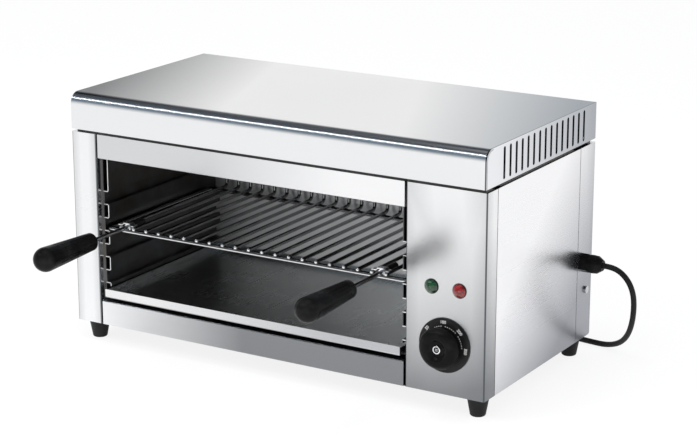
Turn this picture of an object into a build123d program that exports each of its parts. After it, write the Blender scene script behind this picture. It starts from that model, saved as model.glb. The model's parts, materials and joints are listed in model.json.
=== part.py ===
from build123d import *
import math
import os

# A counter-top cheese melter: an electric grill with a sliding wire rack, a crumb tray, a
# thermostat knob, two pilot lamps and a mains lead. Millimetres, +Z up, -Y is the front.
# The origin is under the middle of the object, on the surface that it stands on.

# ---------------------------------------------------------------- driving dimensions: casing
CASE_W = 580.0  # across the casing
CASE_D = 283.0  # front face to rear face
BODY_H = 245.5  # underside to the top of the panels
FOOT_H = 25.0  # height of the feet
SHEET = 1.2  # outer sheet
WALL_T = 1.0  # inner sheet
BEND_R = 1.5  # outside radius of the visible folds
HANDLE_REACH = 165.0  # from the front face to the tips of the grips

POST_W = 36.5  # left post, face width
CONTROL_W = 103.0  # control panel, face width
HEADER_H = 30.5  # strip over the opening
SKIRT_H = 31.0  # strip under the opening
SEAM = 2.5  # dark joint beside the header and skirt
SIDE_SEAM = 0.8  # joint between the panels of a side
FRONT_WRAP = 25.0  # how far the front panels turn round the sides
REAR_WRAP = 41.0  # how far the rear cover turns round the sides
RETURN_D = 22.0  # inward folds beside the opening
HEADER_FOLD = 14.0  # folds along the header
SKIRT_FOLD = 12.0  # fold along the skirt's top
TOP_FOLD = 14.0  # folds that carry the top plate
BASE_FOLD = 15.0  # upturned edges of the base plate
LAP = 12.0  # side panel tucked behind the front wrap
REAR_LAP = 3.0  # side panel tucked behind the rear wrap
JOG = 2.0  # width of the step that leads into a lap
CORNER_CUT = 5.0  # rounded lower rear corner of the rear cover
CORNER_W = 8.0  # how far the rounded corner reaches across the back
TOP_INSET = 5.0  # top plate, behind the faces

# ---------------------------------------------------------------- lid
LID_GAP = 3.7  # dark gap between panels and lid
LID_H = 45.0
LID_OVER = 1.5  # overhang at the front and the rear
LID_SIDE_INSET = 1.2  # the side flaps, inside the casing's sides
LID_NOSE_R = 14.0  # rounded front edge
LID_SEAM = 0.8  # open joint between front skirt and side flap
SLOT_W = 5.0
SLOT_L = 38.0
SLOT_PITCH = 14.9
SLOT_FIRST = 41.5  # first slot, from the front face
SLOT_LAST = 33.0  # last slot, from the rear face
BRACKET_W = 20.0  # lid brackets
BRACKET_INSET_X = 60.0
BRACKET_INSET_Y = 40.0

# ---------------------------------------------------------------- cooking cavity
GUIDE_INSET = 9.75  # guide ridges, from the edge of the opening
GUIDE_T = 1.0
GROOVE_DEPTH = 6.5
GROOVE_H = 15.8
GROOVE_PITCH = 34.0
GROOVE_COUNT = 4
FIRST_GROOVE = 53.0  # lowest groove floor, above the underside
CAVITY_SET = 10.0  # inner sheets start this far behind the front face
REAR_GAP = 31.0  # cavity back to rear face
CEILING_DROP = 9.5  # reflector below the top plate

# ---------------------------------------------------------------- heating elements
ELEMENT_R = 3.5
ELEMENT_DROP = 12.0  # below the reflector
LEG_BEND_R = 12.0
FIRST_LEG = 42.0  # from the front face
LAST_LEG = 27.0  # from the cavity back
BULB_SPACE = 33.0  # between the elements, where the sensing bulb lies
ELEMENT_MARGIN = 28.0  # bends, from the cavity wall
ELEMENT_TAIL = 9.0  # beyond the cavity wall
PIN_R = 1.5
PIN_L = 8.0
SUPPORT_INSET = 108.0  # supports, from the cavity walls
SUPPORT_HANG = 6.0  # below the element's axis
SUPPORT_END = 8.0  # beyond the outer legs
SUPPORT_FOLD = 12.0
BUSH_R = 6.0
BUSH_RIM_R = 8.0
BUSH_RIM_T = 3.0

# ---------------------------------------------------------------- crumb tray
TRAY_SLIT = 5.0  # dark slit between skirt and tray
TRAY_LIP_H = 11.0
TRAY_SIDE_H = 9.5
TRAY_T = 1.0
TRAY_SIDE_GAP = 5.25  # tray side to cavity wall
TRAY_BACK_GAP = 4.0
TRAY_HEADROOM = 1.5  # tray lip to the foot of the guides
RUNNER_W = 12.0
RUNNER_H = 10.0

# ---------------------------------------------------------------- rack
FRAME_R = 2.75  # outer frame rod
FRAME_BEND_R = 6.0
FRAME_SIDE_GAP = 0.75  # frame rod to the groove's outer face
FRAME_FRONT = 12.0  # front rail, behind the front face
FRAME_REAR = 232.0  # rear rail, behind the front face
RACK_LEVEL = 2  # groove that holds the rack, counted from 0
WIRE_R = 2.3
WIRE_PITCH = 19.0
WIRE_MARGIN = 20.0  # outer wires, from the side rods' axes
WIRE_TIP = 5.0  # wire ends, in front of the front rail's axis
WIRE_REAR = 240.0  # upright wire ends, behind the front face
WIRE_BEND_R = 6.0
WIRE_RISE = 15.0  # height of the upright ends
RAIL_R = 2.5  # upper rear rail
WELD = 0.05  # rods that cross and are welded

# ---------------------------------------------------------------- handles
HANDLE_INSET = 7.5  # from the outer wires' axes
ROD_R = 2.75
ROD_BACK = 41.5  # rod end, behind the front face
STRAP_T = 1.5
STRAP_FRONT = 9.5  # strap, behind the front face
STRAP_L = 9.0
COLLAR_R = 4.5
COLLAR_L = 21.0
GRIP_L = 103.0
GRIP_R = 15.0  # at the domed end
GRIP_NECK_R = 11.0  # at the inner end
GRIP_EDGE = 2.0
FLUTE_COUNT = 16
FLUTE_R = 1.3
FLUTE_END = 14.0  # plain stretch at the inner end
ROD_GRIP = 60.0  # rod inside the grip

# ---------------------------------------------------------------- controls
KNOB_FROM_RIGHT = 51.5
KNOB_Z = 59.8  # above the underside
DIAL_R = 32.5
DIAL_T = 3.0
DIAL_EDGE = 1.0
DIAL_BORE_R = 6.0
KNOB_R = 20.5  # at the dial
KNOB_TOP_R = 25.0  # widest, at the shoulder
KNOB_SIDE = 10.0  # height of the shoulder
KNOB_H = 19.0
KNOB_RIM_R = 15.5
DISH_R = 13.0
DISH_FLOOR_R = 8.5
DISH_D = 3.5
INSERT_R = 5.0
INSERT_H = 1.5
SPINDLE_R = 3.0
SPINDLE_IN_KNOB = 11.0
SPINDLE_IN_BODY = 18.0
SPINDLE_HOLE_R = 5.0
THERMO_W = 44.0
THERMO_D = 28.0
BULB_R = 3.0
BULB_L = 100.0
BULB_FROM_WALL = 58.0
CAPILLARY_R = 1.0
CAPILLARY_BEND = 15.0
CAPILLARY_HOLE_R = 1.3
LAMP_SPACING = 36.0
LAMP_Z = 127.5  # above the underside
LENS_R = 8.25
LENS_RIM = 1.5
LENS_RISE = 4.5
LAMP_R = 6.25
LAMP_NUT_R = 9.0
LAMP_NUT_T = 4.0
LAMP_L = 32.0

# ---------------------------------------------------------------- wiring
BLOCK_W = 74.0
BLOCK_D = 22.0
BLOCK_H = 18.0
BLOCK_FROM_WALL = 9.0
BLOCK_Y = 190.0
LEAD_R = 1.25
LEAD_BEND = 2.5
LEAD_STEP = 4.0
LEAD_KNEE = 104.0  # drop of an element lead before it turns to the block
LEAD_RISE = 40.0  # straight stretch over the block
LOOM_STEP = 8.0
LOOM_STRAIGHT = 40.0

# ---------------------------------------------------------------- feet and fasteners
FOOT_TOP_R = 13.5
FOOT_BOTTOM_R = 9.0
FOOT_EDGE = 2.5
FOOT_INSET_X = 18.0
FOOT_INSET_Y = 20.0
FOOT_SCREW_R = 2.0
FOOT_SCREW_L = 17.0
SCREW_HEAD_R = 5.0
SCREW_HEAD_H = 2.5
REAR_SCREW_R = 1.5
REAR_SCREW_HEAD = 3.5
REAR_SCREW_H = 2.0
REAR_SCREW_Z = 9.0
REAR_SCREW_COUNT = 4
REAR_SCREW_INSET = 40.0
BOND_FROM_REAR = 17.0
BOND_Z = 62.0
BOND_HEAD_R = 4.5
BOND_R = 2.5
BOND_L = 10.0
BOND_NUT_R = 5.0
BOND_NUT_T = 4.0

# ---------------------------------------------------------------- gland, lead and plug
GLAND_FROM_REAR = 26.0
GLAND_Z = 99.0
GLAND_HEX_R = 12.0
GLAND_HEX_L = 8.0
GLAND_CAP_R = 11.0
GLAND_CAP_L = 12.0
GLAND_TIP_R = 6.5
GLAND_TIP_L = 7.0
GLAND_STEM_R = 7.9
GLAND_STEM_L = 12.0
GLAND_NUT_R = 11.0
GLAND_NUT_T = 4.0
CORD_R = 3.5
COIL_R = 47.0  # outermost turn, centre line
COIL_STEP = 7.5  # between turns and between layers
COIL_TURNS = 5  # two layers of half as many
COIL_FROM_RIGHT = 140.0  # centre of the coil
COIL_BEHIND = 79.0  # centre of the coil, behind the rear face
COIL_END = 7.0  # straight stretch where the coil begins
COIL_EXIT = 18.0  # straight stretch up to the plug
PLUG_W = 34.0
PLUG_T = 22.0
PLUG_L = 38.0
PLUG_NECK_L = 28.0
PLUG_NECK_R = 6.5
PLUG_EDGE = 3.0
PLUG_PIN_R = 2.0
PLUG_PIN_L = 19.0
PLUG_PIN_STEP = 9.5

# ---------------------------------------------------------------- clearances
FIT = 0.1  # a hole round the piece that it holds
RUN = 0.05  # a shaft that turns
SEAT = 0.3  # pieces that rest or slide on each other

# ---------------------------------------------------------------- places worked out from these
LEFT = -CASE_W / 2
RIGHT = CASE_W / 2
FRONT = (HANDLE_REACH - CASE_D) / 2
BACK = FRONT + CASE_D
BASE = FOOT_H
BODY_TOP = BASE + BODY_H
OPEN_L = LEFT + POST_W
OPEN_R = RIGHT - CONTROL_W
MID = (OPEN_L + OPEN_R) / 2
OPEN_HALF = (OPEN_R - OPEN_L) / 2
RIDGE_HALF = OPEN_HALF - GUIDE_INSET
WALL_HALF = RIDGE_HALF + GROOVE_DEPTH + GUIDE_T
WALL_OUT = WALL_HALF + WALL_T
CAVITY_FRONT = FRONT + CAVITY_SET
CAVITY_BACK = BACK - REAR_GAP
CEILING = BODY_TOP - CEILING_DROP
LID_BOTTOM = BODY_TOP + LID_GAP
LID_TOP = LID_BOTTOM + LID_H
ELEMENT_Z = CEILING - ELEMENT_DROP
LEG_ROOM = CAVITY_BACK - LAST_LEG - FRONT - FIRST_LEG
LEG_PITCH = (LEG_ROOM - BULB_SPACE) / 6
SECOND_ELEMENT = 3 * LEG_PITCH + BULB_SPACE
SUPPORT_X = WALL_HALF - SUPPORT_INSET
TRAY_BOTTOM = BASE + SKIRT_H + TRAY_SLIT
TRAY_HALF = WALL_HALF - TRAY_SIDE_GAP
GUIDE_BOTTOM = TRAY_BOTTOM + TRAY_LIP_H + TRAY_HEADROOM
GUIDE_TOP = BODY_TOP - HEADER_H - SEAT
FRAME_Z = BASE + FIRST_GROOVE + RACK_LEVEL * GROOVE_PITCH + SEAT + FRAME_R
FRAME_HALF = RIDGE_HALF + GROOVE_DEPTH - FRAME_SIDE_GAP - FRAME_R
WIRE_COUNT = 2 * int((FRAME_HALF - WIRE_MARGIN) / WIRE_PITCH) + 1
HANDLE_X = (WIRE_COUNT - 1) / 2 * WIRE_PITCH - HANDLE_INSET
WIRE_Z = FRAME_Z + FRAME_R + WELD + WIRE_R
ROD_Z = FRAME_Z + FRAME_R + WELD + ROD_R
KNOB_X = RIGHT - KNOB_FROM_RIGHT
KNOB_HEIGHT = BASE + KNOB_Z
LAMP_HEIGHT = BASE + LAMP_Z
BULB_Y = FRONT + FIRST_LEG + 1.5 * LEG_PITCH + SECOND_ELEMENT / 2
BLOCK_LEFT = MID + WALL_OUT + BLOCK_FROM_WALL
BLOCK_FRONT = FRONT + BLOCK_Y
BLOCK_TOP = BASE + SHEET + BLOCK_H
GLAND_Y = BACK - GLAND_FROM_REAR
GLAND_HEIGHT = BASE + GLAND_Z
GLAND_REACH = GLAND_HEX_L + GLAND_CAP_L + GLAND_TIP_L
COIL_X = RIGHT - COIL_FROM_RIGHT
COIL_Y = BACK + COIL_BEHIND

# The lead's route from the gland's tip to the coil, as (right of the casing's right side,
# behind the casing's rear face, above the surface that it stands on). It arcs out and down,
# meets the surface behind the corner, and runs along the back to the start of the coil.
LEAD_ROUTE = [
    (GLAND_REACH, -GLAND_FROM_REAR, BASE + GLAND_Z),
    (38.5, -GLAND_FROM_REAR, BASE + GLAND_Z),
    (51.0, -26.0, 119.3),
    (61.3, -25.6, 109.0),
    (66.8, -23.5, 94.0),
    (66.0, -18.0, 75.0),
    (60.5, -9.0, 51.0),
    (49.5, 4.0, 29.0),
    (33.5, 17.5, 12.5),
    (12.0, 27.0, CORD_R),
    (-12.0, 29.5, CORD_R),
    (-40.0, 33.5, CORD_R),
    (-72.0, 35.2, CORD_R),
    (-104.0, COIL_BEHIND - COIL_R, CORD_R),
    (COIL_END - COIL_FROM_RIGHT, COIL_BEHIND - COIL_R, CORD_R),
]

ON_FACE = (Align.CENTER, Align.CENTER, Align.MIN)
MADE = []


# ---------------------------------------------------------------- helpers
def block(x, y, z):
    """A box between two corners, given as a (low, high) pair along each axis."""
    size = [high - low for low, high in (x, y, z)]
    return Pos(x[0], y[0], z[0]) * Box(*size, align=(Align.MIN, Align.MIN, Align.MIN))


def from_mid(side, near, far):
    """The x range between two distances from the cavity's middle; side is -1 or 1."""
    return tuple(sorted((MID + side * near, MID + side * far)))


def peg(start, direction, radius, length):
    """A round bar from a point along a direction."""
    return Plane(origin=start, z_dir=direction) * Cylinder(radius, length, align=ON_FACE)


def turned(start, direction, outline):
    """A turned piece: (radius, distance) corners from its axis at start, along direction."""
    face = Plane.XZ * make_face(Polyline(*outline, close=True))
    return Plane(origin=start, z_dir=direction) * revolve(face, Axis.Z)


def hexagon(start, direction, radius, length):
    """A six-sided bar from a point along a direction."""
    face = Plane(origin=start, z_dir=direction) * RegularPolygon(radius, 6)
    return extrude(face, length)


def tube(path, radius):
    """A round bar along a path."""
    return sweep(Plane(origin=path @ 0, z_dir=path % 0) * Circle(radius), path=path)


def fold(part, axis, near, radius=BEND_R):
    """Round the straight edge along an axis that lies nearest to a point."""
    edge = part.edges().filter_by(axis).sort_by_distance(near)[0]
    return fillet(edge, radius)


def save(name, *solids):
    """Write one node, from one solid or several that stay apart."""
    shape = solids[0] if len(solids) == 1 else Compound(children=list(solids))
    shape.label = name
    export_step(shape, os.path.join("parts", name + ".step"))
    MADE.append(name)


# ---------------------------------------------------------------- outer casing
def front_post(left, right, outer):
    """A front upright: face, fold round the side at x = outer, fold into the opening."""
    inner = right if outer == left else left
    step = SHEET if outer == left else -SHEET
    side = tuple(sorted((outer, outer + step)))
    into = tuple(sorted((inner, inner - step)))
    post = block((left, right), (FRONT, FRONT + SHEET), (BASE, BODY_TOP))
    post += block(side, (FRONT, FRONT + FRONT_WRAP), (BASE, BODY_TOP))
    post += block(into, (FRONT, FRONT + RETURN_D), (BASE + SHEET, BODY_TOP))
    post += block((left, right), (FRONT, FRONT + RETURN_D), (BODY_TOP - SHEET, BODY_TOP))
    post = fold(post, Axis.Z, (outer, FRONT, BASE))
    return fold(post, Axis.Z, (inner, FRONT, BASE))


def control_panel():
    panel = front_post(OPEN_R, RIGHT, RIGHT)
    panel -= peg((KNOB_X, FRONT - SHEET, KNOB_HEIGHT), (0, 1, 0), SPINDLE_HOLE_R, 3 * SHEET)
    for side in (-1, 1):
        x = KNOB_X + side * LAMP_SPACING / 2
        panel -= peg((x, FRONT - SHEET, LAMP_HEIGHT), (0, 1, 0), LAMP_R + FIT, 3 * SHEET)
    return panel


def header_panel():
    x = (OPEN_L + SEAM, OPEN_R - SEAM)
    z = (BODY_TOP - HEADER_H, BODY_TOP)
    strip = block(x, (FRONT, FRONT + SHEET), z)
    strip += block(x, (FRONT, FRONT + HEADER_FOLD), (z[0], z[0] + SHEET))
    strip += block(x, (FRONT, FRONT + HEADER_FOLD), (z[1] - SHEET, z[1]))
    end_y = (FRONT, CAVITY_FRONT - SEAT)
    strip += block((x[0], x[0] + SHEET), end_y, z)
    strip += block((x[1] - SHEET, x[1]), end_y, z)
    return fold(strip, Axis.X, (MID, FRONT, z[0]))


def front_skirt():
    x = (OPEN_L + SEAM, OPEN_R - SEAM)
    top = BASE + SKIRT_H
    strip = block(x, (FRONT, FRONT + SHEET), (BASE, top))
    strip += block(x, (FRONT, FRONT + SKIRT_FOLD), (top - SHEET, top))
    return fold(strip, Axis.X, (MID, FRONT, top))


def side_panel(side):
    """A side panel, tucked behind the wraps before and behind it; side is -1 or 1."""
    def depth(near, far):
        edge = LEFT if side < 0 else RIGHT
        return tuple(sorted((edge - side * near, edge - side * far)))

    front = FRONT + FRONT_WRAP + SIDE_SEAM
    rear = BACK - REAR_WRAP - SIDE_SEAM
    lap_z = (BASE + 2 * SHEET, BODY_TOP - 2 * SHEET)
    panel = block(depth(0, SHEET), (front, rear), (BASE, BODY_TOP))
    panel += block(depth(SHEET, 2 * SHEET), (front - SIDE_SEAM - LAP, front + JOG), lap_z)
    panel += block(depth(SHEET, 2 * SHEET), (rear - JOG, rear + SIDE_SEAM + REAR_LAP), lap_z)
    fold_y = (front + LAP, rear - LAP)
    panel += block(depth(0, TOP_FOLD), fold_y, (BODY_TOP - SHEET, BODY_TOP))
    return panel


def rear_cover():
    cover = block((LEFT, RIGHT), (BACK - SHEET, BACK), (BASE, BODY_TOP))
    for x in ((LEFT, LEFT + SHEET), (RIGHT - SHEET, RIGHT)):
        cover += block(x, (BACK - REAR_WRAP, BACK), (BASE, BODY_TOP))
    cover += block((LEFT, RIGHT), (BACK - TOP_FOLD, BACK), (BODY_TOP - SHEET, BODY_TOP))
    for x in (LEFT, RIGHT):
        cover = fold(cover, Axis.Z, (x, BACK, BASE))
    for side in (-1, 1):
        edge = side * CASE_W / 2
        x = tuple(sorted((edge - side * CORNER_W, edge + side * SHEET)))
        corner = block(x, (BACK - CORNER_CUT, BACK + SHEET), (BASE - SHEET, BASE + CORNER_CUT))
        centre = (x[0], BACK - CORNER_CUT, BASE + CORNER_CUT)
        cover -= corner - peg(centre, (1, 0, 0), CORNER_CUT, x[1] - x[0])
    gland = (RIGHT - 2 * SHEET, GLAND_Y, GLAND_HEIGHT)
    cover -= peg(gland, (1, 0, 0), GLAND_STEM_R + FIT, 3 * SHEET)
    bond = (RIGHT - 2 * SHEET, BACK - BOND_FROM_REAR, BASE + BOND_Z)
    cover -= peg(bond, (1, 0, 0), BOND_R + FIT, 3 * SHEET)
    for x in rear_screw_places():
        hole = (x, BACK - 2 * SHEET, BASE + REAR_SCREW_Z)
        cover -= peg(hole, (0, 1, 0), REAR_SCREW_R + FIT, 3 * SHEET)
    return cover


def rear_screw_places():
    """The x of each screw along the foot of the rear cover."""
    step = (CASE_W - 2 * REAR_SCREW_INSET) / (REAR_SCREW_COUNT - 1)
    return [LEFT + REAR_SCREW_INSET + i * step for i in range(REAR_SCREW_COUNT)]


def foot_places():
    """The name and centre of each foot."""
    places = []
    for y_name, y in (("front", FRONT + FOOT_INSET_Y), ("rear", BACK - FOOT_INSET_Y)):
        for x_name, x in (("left", LEFT + FOOT_INSET_X), ("right", RIGHT - FOOT_INSET_X)):
            places.append((y_name + "_" + x_name, x, y))
    return places


def base_plate():
    x = (LEFT + SHEET, RIGHT - SHEET)
    y = (FRONT + SHEET, BACK - SHEET)
    up = (BASE, BASE + BASE_FOLD)
    plate = block(x, y, (BASE, BASE + SHEET))
    for span in (
        (x[0], OPEN_L - SHEET - SEAT),
        (OPEN_L + SEAM, OPEN_R - SEAM),
        (OPEN_R + SHEET + SEAT, x[1]),
    ):
        plate += block(span, (y[0], y[0] + SHEET), up)
    plate += block((x[0] + SHEET, x[1] - SHEET), (y[1] - SHEET, y[1]), up)
    side_y = (FRONT + FRONT_WRAP + 2 * LAP, BACK - REAR_WRAP - LAP)
    plate += block((x[0], x[0] + SHEET), side_y, up)
    plate += block((x[1] - SHEET, x[1]), side_y, up)
    for _, foot_x, foot_y in foot_places():
        hole = (foot_x, foot_y, BASE - SHEET)
        plate -= peg(hole, (0, 0, 1), FOOT_SCREW_R + FIT, 3 * SHEET)
    for screw_x in rear_screw_places():
        hole = (screw_x, y[1] - 2 * SHEET, BASE + REAR_SCREW_Z)
        plate -= peg(hole, (0, 1, 0), REAR_SCREW_R + FIT, 3 * SHEET)
    return plate


def top_plate():
    x = (LEFT + TOP_INSET, RIGHT - TOP_INSET)
    y = (FRONT + TOP_INSET, BACK - TOP_INSET)
    return block(x, y, (BODY_TOP, BODY_TOP + SHEET))


# ---------------------------------------------------------------- lid
def lid_profile(inset):
    """Side outline of the lid, drawn back by inset from its outer face."""
    front = FRONT - LID_OVER + inset
    rear = BACK + LID_OVER - inset
    top = LID_TOP - inset
    radius = LID_NOSE_R - inset
    slope = radius * math.sqrt(0.5)
    knee = (front + radius - slope, top - radius + slope)
    lines = [
        Line((front, LID_BOTTOM), (front, top - radius)),
        ThreePointArc((front, top - radius), knee, (front + radius, top)),
        Line((front + radius, top), (rear, top)),
        Line((rear, top), (rear, LID_BOTTOM)),
        Line((rear, LID_BOTTOM), (front, LID_BOTTOM)),
    ]
    return make_face(Curve() + lines)


def lid_prism(inset, left, right):
    """The lid's side outline as a solid between two x values."""
    face = Plane(origin=(left, 0, 0), x_dir=(0, 1, 0), z_dir=(1, 0, 0)) * lid_profile(inset)
    return extrude(face, right - left)


def top_cover():
    left = LEFT + LID_SIDE_INSET
    right = RIGHT - LID_SIDE_INSET
    lid = lid_prism(0, left, right) - lid_prism(SHEET, left, right)
    z_mid = LID_BOTTOM + LID_H / 2
    first = FRONT + SLOT_FIRST
    count = int((CASE_D - SLOT_FIRST - SLOT_LAST) / SLOT_PITCH + 0.5) + 1
    for x in (left, right - SHEET):
        flap = lid_prism(SHEET, x, x + SHEET)
        flap -= lid_prism(SHEET, x, x + SHEET) - lid_prism(SHEET + LID_SEAM, x, x + SHEET)
        flap += block(
            (x, x + SHEET),
            (FRONT + LID_NOSE_R, BACK + LID_OVER - SHEET),
            (LID_BOTTOM, LID_TOP - SHEET),
        )
        for i in range(count):
            mouth = Plane(
                origin=(x - SHEET, first + i * SLOT_PITCH, z_mid), x_dir=(0, 0, 1), z_dir=(1, 0, 0)
            )
            flap -= extrude(mouth * SlotOverall(SLOT_L, SLOT_W), 3 * SHEET)
        lid += flap
    return lid


def lid_bracket(x, y):
    """A Z-shaped bracket between the top plate and the lid's underside."""
    low = BODY_TOP + SHEET
    high = LID_TOP - SHEET
    foot = block((x, x + BRACKET_W), (y, y + BRACKET_W), (low, low + SHEET))
    web = block((x, x + BRACKET_W), (y, y + SHEET), (low, high))
    head = block((x, x + BRACKET_W), (y + SHEET - BRACKET_W, y + SHEET), (high - SHEET, high))
    return foot + web + head


def lid_brackets():
    xs = (LEFT + BRACKET_INSET_X, RIGHT - BRACKET_INSET_X - BRACKET_W)
    ys = (FRONT + BRACKET_INSET_Y, BACK - BRACKET_INSET_Y - BRACKET_W)
    return [lid_bracket(x, y) for x in xs for y in ys]


# ---------------------------------------------------------------- cavity
def inner_wall(side):
    """A cavity side sheet, folded to meet the front panel's inward fold."""
    z = (BASE + SHEET, CEILING)
    wall = block(from_mid(side, WALL_HALF, WALL_OUT), (CAVITY_FRONT, CAVITY_BACK), z)
    edge = (CAVITY_FRONT, CAVITY_FRONT + WALL_T)
    wall += block(from_mid(side, WALL_OUT, OPEN_HALF), edge, z)
    if side > 0:
        for y in leg_ends():
            hole = (MID + WALL_HALF - WALL_T, y, ELEMENT_Z)
            wall -= peg(hole, (1, 0, 0), BUSH_R + FIT, 3 * WALL_T)
        hole = (MID + WALL_HALF - WALL_T, BULB_Y, ELEMENT_Z)
        wall -= peg(hole, (1, 0, 0), CAPILLARY_HOLE_R, 3 * WALL_T)
    return wall


def rack_guide(side):
    """A side lining with pressed grooves that the rack slides in."""
    floors = [BASE + FIRST_GROOVE + i * GROOVE_PITCH for i in range(GROOVE_COUNT)]
    corners = [(RIDGE_HALF, GUIDE_BOTTOM)]
    for floor in floors:
        roof = floor + GROOVE_H
        out = RIDGE_HALF + GROOVE_DEPTH
        corners += [(RIDGE_HALF, floor), (out, floor), (out, roof), (RIDGE_HALF, roof)]
    corners.append((RIDGE_HALF, GUIDE_TOP))
    back = [(RIDGE_HALF + GUIDE_T, GUIDE_TOP)]
    for floor in reversed(floors):
        low = floor - GUIDE_T
        high = floor + GROOVE_H + GUIDE_T
        out = RIDGE_HALF + GROOVE_DEPTH + GUIDE_T
        ridge = RIDGE_HALF + GUIDE_T
        back += [(ridge, high), (out, high), (out, low), (ridge, low)]
    back.append((RIDGE_HALF + GUIDE_T, GUIDE_BOTTOM))
    outline = [(MID + side * near, z) for near, z in corners + back]
    plane = Plane(origin=(0, CAVITY_FRONT, 0), x_dir=(1, 0, 0), z_dir=(0, -1, 0))
    face = plane * make_face(Polyline(*outline, close=True))
    return extrude(face, -(CAVITY_BACK - SEAT - CAVITY_FRONT))


def cavity_back():
    y = (CAVITY_BACK, CAVITY_BACK + WALL_T)
    return block((MID - WALL_OUT, MID + WALL_OUT), y, (BASE + SHEET, CEILING))


def reflector():
    y = (CAVITY_FRONT, CAVITY_BACK + WALL_T)
    return block((MID - WALL_OUT, MID + WALL_OUT), y, (CEILING, CEILING + WALL_T))


def insulation():
    y = (FRONT + HEADER_FOLD + SEAT, CAVITY_BACK)
    z = (CEILING + WALL_T, BODY_TOP - SEAT)
    return block((MID - WALL_HALF, MID + WALL_HALF), y, z)


# ---------------------------------------------------------------- heating elements
def element_legs(first):
    """The y of the four legs of an element whose first leg is at y = first."""
    return [first + i * LEG_PITCH for i in range(4)]


def first_legs():
    """The y of the first leg of each element."""
    return [FRONT + FIRST_LEG, FRONT + FIRST_LEG + SECOND_ELEMENT]


def leg_ends():
    """The y of every leg that passes through the cavity wall."""
    return [y for first in first_legs() for y in (first, first + 3 * LEG_PITCH)]


def heating_element(first):
    """One tubular element: four legs joined by bends, with a pin at each end."""
    near = MID - WALL_HALF + ELEMENT_MARGIN
    far = MID + WALL_HALF - ELEMENT_MARGIN
    end = MID + WALL_OUT + ELEMENT_TAIL
    legs = element_legs(first)
    route = [(end, legs[0]), (near, legs[0]), (near, legs[1]), (far, legs[1])]
    route += [(far, legs[2]), (near, legs[2]), (near, legs[3]), (end, legs[3])]
    points = [(x, y, ELEMENT_Z) for x, y in route]
    element = tube(FilletPolyline(*points, radius=min(LEG_BEND_R, 0.48 * LEG_PITCH)), ELEMENT_R)
    for y in (legs[0], legs[3]):
        element += peg((end, y, ELEMENT_Z), (1, 0, 0), PIN_R, PIN_L)
    return element


def element_support(x):
    """A strip under the reflector with a hole for each leg and for the sensing bulb."""
    first, second = first_legs()
    y = (first - SUPPORT_END, second + 3 * LEG_PITCH + SUPPORT_END)
    strip = block((x, x + WALL_T), y, (ELEMENT_Z - SUPPORT_HANG, CEILING))
    strip += block((x, x + SUPPORT_FOLD), y, (CEILING - WALL_T, CEILING))
    start = x - WALL_T
    for leg in element_legs(first) + element_legs(second):
        strip -= peg((start, leg, ELEMENT_Z), (1, 0, 0), ELEMENT_R + FIT, 3 * WALL_T)
    strip -= peg((start, BULB_Y, ELEMENT_Z), (1, 0, 0), BULB_R + FIT, 3 * WALL_T)
    return strip


def element_bush(y):
    """A ceramic bush in the cavity wall, round one end of an element."""
    start = (MID + WALL_HALF, y, ELEMENT_Z)
    bore = ELEMENT_R + FIT
    length = WALL_T + BUSH_RIM_T
    outline = [(bore, 0), (BUSH_R, 0), (BUSH_R, WALL_T), (BUSH_RIM_R, WALL_T)]
    outline += [(BUSH_RIM_R, length), (bore, length)]
    return turned(start, (1, 0, 0), outline)


# ---------------------------------------------------------------- crumb tray
def tray_runner(side):
    """An angle along a cavity wall that carries one side of the tray."""
    top = TRAY_BOTTOM - SEAT
    y = (FRONT + SKIRT_FOLD + SEAT, CAVITY_BACK)
    shelf = block(from_mid(side, WALL_HALF - RUNNER_W, WALL_HALF), y, (top - WALL_T, top))
    web = block(from_mid(side, WALL_HALF - WALL_T, WALL_HALF), y, (top - RUNNER_H, top))
    return shelf + web


def crumb_tray():
    x = (MID - TRAY_HALF, MID + TRAY_HALF)
    y = (FRONT, CAVITY_BACK - TRAY_BACK_GAP)
    side_z = (TRAY_BOTTOM, TRAY_BOTTOM + TRAY_SIDE_H)
    tray = block(x, y, (TRAY_BOTTOM, TRAY_BOTTOM + TRAY_T))
    tray += block(x, (y[0], y[0] + TRAY_T), (TRAY_BOTTOM, TRAY_BOTTOM + TRAY_LIP_H))
    tray += block(x, (y[1] - TRAY_T, y[1]), side_z)
    tray += block((x[0], x[0] + TRAY_T), y, side_z)
    tray += block((x[1] - TRAY_T, x[1]), y, side_z)
    return fold(tray, Axis.X, (MID, FRONT, TRAY_BOTTOM), TRAY_T)


# ---------------------------------------------------------------- rack and handles
def rack_frame():
    x = (MID - FRAME_HALF, MID + FRAME_HALF)
    y = (FRONT + FRAME_FRONT, FRONT + FRAME_REAR)
    corners = [(x[0], y[0]), (x[1], y[0]), (x[1], y[1]), (x[0], y[1])]
    points = [(corner_x, corner_y, FRAME_Z) for corner_x, corner_y in corners]
    return tube(FilletPolyline(*points, radius=FRAME_BEND_R, close=True), FRAME_R)


def wire_places():
    """The x of each wire, spread evenly about the rack's middle."""
    return [MID + (i - (WIRE_COUNT - 1) / 2) * WIRE_PITCH for i in range(WIRE_COUNT)]


def rack_wire(x):
    """One wire: along the rack, then up at the back."""
    points = [
        (x, FRONT + FRAME_FRONT - WIRE_TIP, WIRE_Z),
        (x, FRONT + WIRE_REAR, WIRE_Z),
        (x, FRONT + WIRE_REAR, WIRE_Z + WIRE_RISE),
    ]
    return tube(FilletPolyline(*points, radius=WIRE_BEND_R), WIRE_R)


def rack_rear_rail():
    ends = wire_places()
    start = ends[0] - WIRE_PITCH / 2
    y = FRONT + WIRE_REAR + WIRE_R + WELD + RAIL_R
    z = WIRE_Z + WIRE_RISE - RAIL_R
    return peg((start, y, z), (1, 0, 0), RAIL_R, ends[-1] + WIRE_PITCH / 2 - start)


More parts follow.
